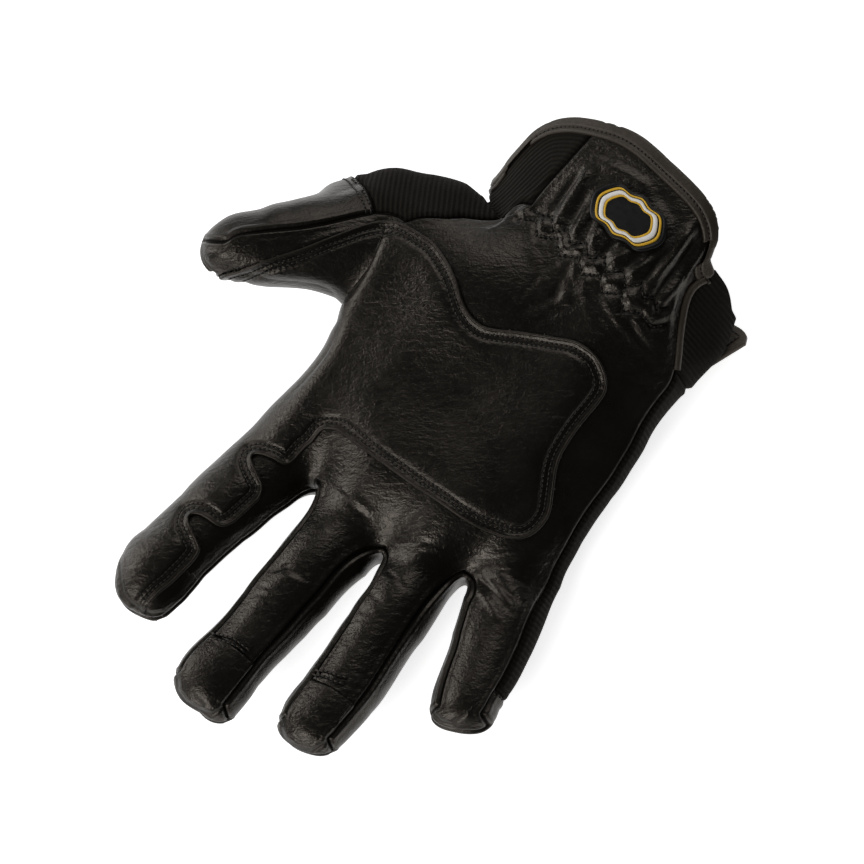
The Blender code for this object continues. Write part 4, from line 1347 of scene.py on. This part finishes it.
def seam_lines(first, seconds):
    """The seams between one panel and others, as lists of vertices of the form."""
    mesh = form()
    wanted = panel_numbers(*seconds)
    own = PANEL[first]
    edges = []
    for edge in mesh.edges:
        if len(edge.link_faces) == 2:
            sides = {face.material_index for face in edge.link_faces}
            if own in sides and sides & wanted:
                edges.append(edge)
    return chained(edges)


def beside_seam(line, first, offset, tree):
    """Points on the first panel, at an even distance from its seam."""
    row = []
    own = PANEL[first]
    for index, corner in enumerate(line):
        ahead = line[min(index + 1, len(line) - 1)].co - line[max(index - 1, 0)].co
        side = corner.normal.cross(ahead).normalized()
        centre = [face.calc_center_median() for face in corner.link_faces if face.material_index == own]
        if not centre:
            continue
        if side.dot(sum(centre, Vector()) / len(centre) - corner.co) < 0:
            side = -side
        hit, way = tree.find_nearest(corner.co + side * offset)[:2]
        row.append((hit, way))
    return row


# Stitches

def seen_row(tree, line, steps=6):
    """Points of a surface under a line of pixels."""
    row = []
    for start, end in zip(line[:-1], line[1:]):
        for step in range(steps):
            t = step / steps
            x, y = (start[0] + (end[0] - start[0]) * t, start[1] + (end[1] - start[1]) * t)
            hit, way = tree.ray_cast(VIEW_EYE, sight(x, y))[:2]
            if hit is not None:
                row.append((hit, way))
    return row


# One stitch's arch: share of its half length, rise and breadth as shares of the thread's
STITCH_ARCH = ((-1.0, -0.20, 0.5), (-0.65, 0.12, 0.9), (0.0, 0.28, 1.0), (0.65, 0.12, 0.9), (1.0, -0.20, 0.5))
HOLE_ARCH = ((-0.85, 0.5), (-0.5, 1.0), (0.5, 1.0), (0.85, 0.5))


def laid_stitches(row, pitch):
    """The middle, direction and surface direction of each stitch along a row."""
    travelled = pitch / 2
    for (here, up), (there, up_there) in zip(row[:-1], row[1:]):
        way = there - here
        reach = way.length
        if reach > 0.006 or reach < 1e-7:
            continue
        while travelled < reach:
            share = travelled / reach
            normal = up.lerp(up_there, share).normalized()
            yield here.lerp(there, share), (way - normal * way.dot(normal)).normalized(), normal
            travelled += pitch
        travelled -= reach


def make_stitches(name, rows, proud=0.0):
    """Sewing thread along rows of points with their surface's directions, and near-black rolls at the
    needle's holes as painted shade in them.
    """
    sizes = bpy.context.scene.glove_sizes
    thread = sizes.thread_width
    threads = []
    holes = []
    for row in rows:
        for place, way, normal in laid_stitches(row, sizes.stitch_pitch):
            place = place + normal * proud
            threads.append([(place + way * (sizes.stitch_length / 2 * step) + normal * (thread * rise), share)
                            for step, rise, share in STITCH_ARCH])
            # Each needle hole is a small near-black roll, painted shade in the hole
            hole = place + way * (sizes.stitch_pitch / 2) - normal * (thread * 0.30)
            holes.append([(hole + way * (thread * step), share) for step, share in HOLE_ARCH])
    finished(swept(name, threads, thread / 2, "POLY", 1), name, finish("thread"))
    finished(swept(name, holes, thread * 0.95, "POLY", 1), name + "_hole_shade", finish("needle_hole_shade"))


# Cuff binding, piping, badge and strap

def pulled(mesh, corners, edges):
    """Extrude border edges; give each corner's new vertex."""
    made = bmesh.ops.extrude_edge_only(mesh, edges=edges)["geom"]
    fresh = {item for item in made if isinstance(item, bmesh.types.BMVert)}
    pairs = {}
    for corner in corners:
        pairs[corner] = next(edge.other_vert(corner) for edge in corner.link_edges
                             if edge.other_vert(corner) in fresh)
    return pairs, [item for item in made if isinstance(item, bmesh.types.BMEdge)
                   and item.verts[0] in fresh and item.verts[1] in fresh]


PIPING_RADIUS = 0.00130
BINDING_ROUND = 0.0011
BINDING_STEPS = 6
BINDING_SHARE = 0.62
# The binding's inner lip, which lies on the leather: how far in from the row of stitches, and its height
BINDING_LIP = ((0.0006, 0.00080), (0.0013, 0.00095), (0.0020, 0.00070), (0.0023, 0.00005))


def borders(corners):
    """The place, the flat way across the border and the surface direction at each border corner."""
    found = {}
    for corner in corners:
        within = [edge.other_vert(corner).co for edge in corner.link_edges if not edge.is_boundary]
        way = corner.co - sum(within, Vector()) / len(within) if within else Vector()
        normal = corner.normal.copy()
        way = (way - normal * way.dot(normal)).normalized()
        found[corner] = (corner.co.copy(), way, normal)
    return found


def make_binding():
    """The folded strip round the cuff's edge: proud of the leather, rounded over and turned inside."""
    mesh = panel("cuff_binding")
    even = mesh.verts.layers.float_vector["even"]
    edge_mark = mesh.verts.layers.float["open"]
    for vertex in mesh.verts:
        vertex.co = vertex[even]
    mesh.normal_update()
    outer = [edge for edge in mesh.edges if edge.is_boundary
             and edge.verts[0][edge_mark] > 0.5 and edge.verts[1][edge_mark] > 0.5]
    opening = edge_tree(mesh, outer)
    inner = [edge for edge in mesh.edges if edge.is_boundary
             and min(opening.find(corner.co)[2] for corner in edge.verts) > BINDING_WIDTH * 0.75]
    seam = edge_tree(mesh, inner)
    rows = chained(inner)
    lips = borders({corner for edge in inner for corner in edge.verts})
    places = {}
    for vertex in mesh.verts:
        near, index, gap = seam.find(vertex.co)
        rise = 0.00050 + 0.00065 * min(1.0, gap / 0.0012)
        ripple = noise.noise(vertex.co * 260.0) * 0.00010 * min(1.0, gap / 0.002)
        places[vertex] = near.lerp(vertex.co, BINDING_SHARE) + vertex.normal * (rise + ripple)
    for vertex, place in places.items():
        vertex.co = place
    mesh.normal_update()
    FORM["binding_rows"] = [[(corner.co.copy(), lips[corner][2]) for corner in line] for line in rows]
    rolls = borders({corner for edge in outer for corner in edge.verts})
    for inset, height in BINDING_LIP:
        pairs, inner = pulled(mesh, list(lips), inner)
        for corner, (base, way, normal) in lips.items():
            pairs[corner].co = FORM["even"].find_nearest(base + way * inset)[0] + normal * height
        lips = {pairs[corner]: frame for corner, frame in lips.items()}
    for step in range(1, BINDING_STEPS + 4):
        pairs, outer = pulled(mesh, list(rolls), outer)
        for corner, (base, way, normal) in rolls.items():
            turn = math.pi * min(step, BINDING_STEPS) / BINDING_STEPS
            depth = BINDING_ROUND * (1 - math.cos(turn))
            inside = max(0, step - BINDING_STEPS) * 0.0018
            pairs[corner].co = base + way * (BINDING_ROUND * math.sin(turn) - inside) - normal * depth
        rolls = {pairs[corner]: frame for corner, frame in rolls.items()}
    # The binding's leather is painted lighter, as painted light
    return finished(mesh, "cuff_binding_piece", finish("binding_leather"),
                    ["cuff_binding"], 0.0004)


BADGE_PLACE = (-6.6, -75)
BADGE_LENGTH = 0.0292
BADGE_WIDTH = 0.0176
BADGE_EDGE = (
    (1.00, 0.00), (0.88, 0.48), (0.66, 0.84), (0.32, 0.84), (0.00, 1.00), (-0.32, 0.84),
    (-0.66, 0.84), (-0.88, 0.48), (-1.00, 0.00), (-0.88, -0.48), (-0.66, -0.84), (-0.32, -0.84),
    (0.00, -1.00), (0.32, -0.84), (0.66, -0.84), (0.88, -0.48),
)
# Each layer is a list of share of the outline and height in millimetres, from its outer foot inward
BADGE_LAYERS = (
    ("badge_plate", "badge_rubber", ("badge",), True,
     ((0.97, 0.1), (1.00, 0.5), (1.00, 1.4), (0.985, 1.65), (0.95, 1.75), (0.92, 1.62), (0.90, 1.45),
      (0.6, 1.45), (0.3, 1.45), (0.05, 1.45))),
    ("badge_gold_line", "badge_gold", (), False,
     ((0.865, 1.3), (0.860, 1.72), (0.850, 1.82), (0.815, 1.82), (0.805, 1.72), (0.800, 1.3))),
    ("badge_white_line", "badge_white", (), False,
     ((0.765, 1.3), (0.760, 1.80), (0.745, 1.92), (0.665, 1.92), (0.650, 1.80), (0.645, 1.3))),
    ("badge_inner_line", "badge_gold", (), False,
     ((0.645, 1.3), (0.640, 1.68), (0.630, 1.76), (0.600, 1.76), (0.590, 1.68), (0.585, 1.3))),
)


def make_badge():
    """A blank shield: a rubber plate with plain gold and white border lines."""
    form()
    tree = FORM["even"]
    centre = palm_point(BADGE_PLACE + (0,))
    outline = smooth_outline(BADGE_EDGE, 6)
    down = Vector((0, 0, -1))
    for name, material, nodes, filled, layers in BADGE_LAYERS:
        mesh = bmesh.new()
        ring = bmesh.ops.create_circle(mesh, segments=len(outline), radius=1.0)["verts"]
        edges = [mesh.edges.get((ring[index], ring[(index + 1) % len(ring)])) for index in range(len(ring))]
        places = {corner: Vector((spot.x * BADGE_LENGTH / 2, spot.y * BADGE_WIDTH / 2, 0.0))
                  for corner, spot in zip(ring, outline)}
        for index, (share, height) in enumerate(layers):
            if index:
                pairs, edges = pulled(mesh, list(places), edges)
                places = {pairs[corner]: place for corner, place in places.items()}
            for corner, place in places.items():
                corner.co = centre + place * share
                top = tree.ray_cast(corner.co + Vector((0, 0, 0.2)), down)[0]
                corner.co.z = top.z + 0.0004 + height * MM
        if filled:
            bmesh.ops.contextual_create(mesh, geom=edges)
        bmesh.ops.recalc_face_normals(mesh, faces=mesh.faces[:])
        if sum(face.normal.z * face.calc_area() for face in mesh.faces) < 0:
            bmesh.ops.reverse_faces(mesh, faces=mesh.faces[:])
        finished(mesh, name, finish(material), nodes)


STRAP_SEWN = 24
STRAP_FREE = -52.5
STRAP_LIFTS = -40
STRAP_SLANT = 6
STRAP_PLACE = -66
STRAP_RISE = 0.0065
STRAP_WIDTH = 0.0245
STRAP_WALL = 0.0020


def strap_point(share, side):
    """A point of the strap's upper face: share along it from its sewn end, side from -1 to 1."""
    x = across(STRAP_SEWN + (STRAP_FREE - STRAP_SEWN) * share)
    rounding = max(0.0, share - 0.93) / 0.07
    half = STRAP_WIDTH / 2 * (1 - 0.32 * (1 - math.sqrt(max(0.0, 1 - rounding ** 2))))
    rise = max(0.0, (across(STRAP_LIFTS) - x) / across(STRAP_LIFTS - STRAP_FREE)) ** 1.6
    slant = side / 2 * across(STRAP_SLANT) * share ** 6
    return Vector((x - slant, along(STRAP_PLACE) - side * half, STRAP_WALL + STRAP_RISE * rise))


def make_strap():
    mesh = bmesh.new()
    bmesh.ops.create_grid(mesh, x_segments=60, y_segments=16, size=1.0)
    for vertex in mesh.verts:
        side = vertex.co.y
        share = (vertex.co.x + 1) / 2
        vertex.co = strap_point(share, side)
        vertex.co.z += 0.0002 * (1 - abs(side) ** 6)
    bmesh.ops.recalc_face_normals(mesh, faces=mesh.faces[:])
    if mesh.faces[0].normal.z < 0:
        bmesh.ops.reverse_faces(mesh, faces=mesh.faces[:])
    # The strap's leather is painted lighter, as painted light on the strap
    strap = finished(mesh, "closure_strap_piece", finish("strap_leather_painted_light"),
                     ["closure_strap"], STRAP_WALL - 0.0003)
    soft = strap.modifiers.new("soft_edge", "BEVEL")
    soft.width = 0.0006
    soft.segments = 3
    soft.limit_method = "ANGLE"
    up = Vector((0, 0, 1))
    inset = 0.80
    first, last, steps = 0.30, 0.97, 60
    sides = [(first + (last - first) * step / steps, inset) for step in range(steps + 1)]
    sides += [(last, inset - 2 * inset * step / 12) for step in range(1, 12)]
    sides += [(last - (last - first) * step / steps, -inset) for step in range(steps + 1)]
    row = [(strap_point(share, side) + up * 0.0002, up) for share, side in sides]
    make_stitches("strap_stitches", [row])


# Operators

class GLOVE_OT_leather(bpy.types.Operator):
    """Make the leather panels of the palm, the fingers' sides and tips, and the thumb"""
    bl_idname = "glove.leather"
    bl_label = "Leather panels"

    def execute(self, context):
        wall = context.scene.glove_sizes.leather_wall
        make_panel("palm_leather", "palm_leather", wall)
        make_panel("thumb_palm_leather", "palm_leather", wall)
        for name in PANELS:
            if name.startswith("fourchette") or name.endswith("_back_tip") or name == "thumb_back_leather":
                make_panel(name, "side_leather", wall)
        make_tip_patches()
        return {"FINISHED"}


class GLOVE_OT_knit(bpy.types.Operator):
    """Make the ribbed knit of the hand's back, the thumb's root and the cuff"""
    bl_idname = "glove.knit"
    bl_label = "Knit panels"

    def execute(self, context):
        wall = context.scene.glove_sizes.knit_wall
        heading = math.radians(THUMB_HEADING)
        forward = Vector((math.cos(heading), math.sin(heading), 0.0))
        rim = edge_tree(form(), [edge for edge in form().edges if edge.is_boundary])
        make_panel("back_knit", "knit", wall, lambda point: point.y)
        make_panel("thumb_knit", "knit", wall, lambda point: point.dot(forward))
        make_panel("cuff_knit_radial", "knit", wall, lambda point: rim.find(point)[2])
        make_panel("cuff_knit_back", "knit", wall, lambda point: point.y)
        return {"FINISHED"}


class GLOVE_OT_palm_patch(bpy.types.Operator):
    """Make the padded second layer over the palm, the thumb's side and the index finger"""
    bl_idname = "glove.palm_patch"
    bl_label = "Palm patch"

    def execute(self, context):
        make_palm_patch()
        return {"FINISHED"}


class GLOVE_OT_cuff(bpy.types.Operator):
    """Make the cuff's binding, the roll beside the vent and the closing strap"""
    bl_idname = "glove.cuff"
    bl_label = "Cuff trim"

    def execute(self, context):
        make_binding()
        even = form().verts.layers.float_vector["even"]
        line = max(seam_lines("palm_leather", ["cuff_knit_back"]), key=len)
        path = [corner[even] + Vector((-0.0002, 0.0, 0.0002)) for corner in line[::4]]
        # The roll is painted lighter like the binding, as painted light
        make_tube("vent_piping_roll", path, PIPING_RADIUS, "binding_leather",
                  ["vent_piping"])
        make_strap()
        return {"FINISHED"}


class GLOVE_OT_badge(bpy.types.Operator):
    """Make the blank shield badge on the cuff"""
    bl_idname = "glove.badge"
    bl_label = "Badge"

    def execute(self, context):
        make_badge()
        return {"FINISHED"}


class GLOVE_OT_stitches(bpy.types.Operator):
    """Sew the rows of stitches on the patch, the gathers, the fingertips, the thumb and the binding"""
    bl_idname = "glove.stitches"
    bl_label = "Stitches"

    def execute(self, context):
        if "patch_rows" not in FORM or "binding_rows" not in FORM:
            raise RuntimeError("the palm patch and the cuff trim come before the stitches")
        tree = BVHTree.FromBMesh(form())
        make_stitches("palm_patch_stitches", FORM["patch_rows"])
        rows = [seen_row(tree, line) for line in (GATHER_LOWER, GATHER_UPPER)]
        make_stitches("gather_stitches", rows)
        rows = [seen_row(tree, line) for line in EXTRA_STITCH_ROWS.values()]
        make_stitches("fingertip_stitches", rows, proud=0.0006)
        rows = []
        for line in seam_lines("thumb_back_leather", ["thumb_knit"]):
            rows += [beside_seam(line, "thumb_back_leather", offset, tree) for offset in (0.0016, 0.0033)]
        for finger in FINGERS:
            name = finger[0] + "_back_tip"
            for line in seam_lines(name, ["back_knit"]):
                rows.append(beside_seam(line, name, 0.0014, tree))
        make_stitches("seam_stitches", rows)
        make_stitches("binding_stitches", FORM["binding_rows"])
        return {"FINISHED"}


class GLOVE_OT_stage(bpy.types.Operator):
    """Set the pale floor, the studio lights and the camera"""
    bl_idname = "glove.stage"
    bl_label = "Floor, lights and camera"

    def execute(self, context):
        make_stage()
        return {"FINISHED"}


class GLOVE_PT_panel(bpy.types.Panel):
    bl_label = "Work glove"
    bl_idname = "GLOVE_PT_panel"
    bl_space_type = "VIEW_3D"
    bl_region_type = "UI"
    bl_category = "Glove"

    def draw(self, context):
        for group in (context.scene.glove_sizes, context.scene.glove_colours):
            for name in group.__annotations__:
                self.layout.prop(group, name)
        for operator in OPERATORS:
            self.layout.operator(operator.bl_idname)


# Stage

LIGHTS = (
    # name, place in metres as right, up and back of the view, size, watts
    ("key", (-0.98, 0.58, 0.20), 0.80, 6.5),
    ("top", (0.16, 1.02, 0.46), 0.80, 3.6),
    ("front", (-0.66, -0.50, 0.76), 0.60, 7.0),
)


FLOOR_GLOW = 0.80
WORLD_GLOW = 0.05


def make_stage():
    scene = bpy.context.scene
    colours = scene.glove_colours
    mesh = bmesh.new()
    bmesh.ops.create_grid(mesh, x_segments=8, y_segments=8, size=3.0)
    bmesh.ops.translate(mesh, verts=mesh.verts[:], vec=(0, 0, -0.0002))
    data = bpy.data.meshes.new("floor")
    mesh.to_mesh(data)
    mesh.free()
    floor = bpy.data.objects.new("floor", data)
    material, tree, shader, where = recipe("floor_paper")
    grain = node(tree, "TexNoise", {}, Vector=where, Scale=30.0, Detail=2.0).outputs[0]
    base = tuple(colours.floor)
    shade = tuple(channel * 0.99 for channel in base)
    tree.links.new(mixed(tree, grain, (*shade, 1), (*base, 1)), shader.inputs["Base Color"])
    shader.inputs["Roughness"].default_value = 0.9
    shader.inputs["Specular IOR Level"].default_value = 0.1
    shader.inputs["Emission Color"].default_value = (1.0, 1.0, 1.0, 1.0)
    shader.inputs["Emission Strength"].default_value = FLOOR_GLOW
    data.materials.append(material)
    scene.collection.objects.link(floor)
    world = bpy.data.worlds.new("studio")
    world.use_nodes = True
    world.node_tree.nodes["Background"].inputs[0].default_value = (1.0, 1.0, 1.0, 1.0)
    world.node_tree.nodes["Background"].inputs[1].default_value = WORLD_GLOW
    scene.world = world
    for name, (right, up, back), size, watts in LIGHTS:
        lamp = bpy.data.lights.new(name, "AREA")
        lamp.shape = "DISK"
        lamp.size = size
        lamp.energy = watts
        holder = bpy.data.objects.new(name, lamp)
        place = VIEW_TARGET + VIEW_RIGHT * right + VIEW_UP * up + VIEW_BACK * back
        holder.location = place
        holder.rotation_euler = (VIEW_TARGET - place).to_track_quat("-Z", "Y").to_euler()
        scene.collection.objects.link(holder)
    lens = bpy.data.cameras.new("view")
    lens.lens = VIEW_LENS
    lens.sensor_width = VIEW_SENSOR
    lens.clip_start = 0.05
    camera = bpy.data.objects.new("view", lens)
    turn = Matrix((VIEW_RIGHT, VIEW_UP, VIEW_BACK)).transposed().to_4x4()
    camera.matrix_world = Matrix.Translation(VIEW_EYE) @ turn
    scene.collection.objects.link(camera)
    scene.camera = camera
    scene.view_settings.view_transform = "Standard"


OPERATORS = (GLOVE_OT_leather, GLOVE_OT_knit, GLOVE_OT_palm_patch, GLOVE_OT_cuff, GLOVE_OT_badge,
             GLOVE_OT_stitches, GLOVE_OT_stage)
CLASSES = (GloveSizes, GloveColours, GLOVE_PT_panel) + OPERATORS


def register():
    for item in CLASSES:
        bpy.utils.register_class(item)
    bpy.types.Scene.glove_sizes = PointerProperty(type=GloveSizes)
    bpy.types.Scene.glove_colours = PointerProperty(type=GloveColours)


def unregister():
    del bpy.types.Scene.glove_colours
    del bpy.types.Scene.glove_sizes
    for item in reversed(CLASSES):
        bpy.utils.unregister_class(item)


def main():
    register()
    bpy.ops.glove.leather()
    bpy.ops.glove.knit()
    bpy.ops.glove.palm_patch()
    bpy.ops.glove.cuff()
    bpy.ops.glove.badge()
    bpy.ops.glove.stitches()
    bpy.ops.glove.stage()


if __name__ == "__main__":
    main()
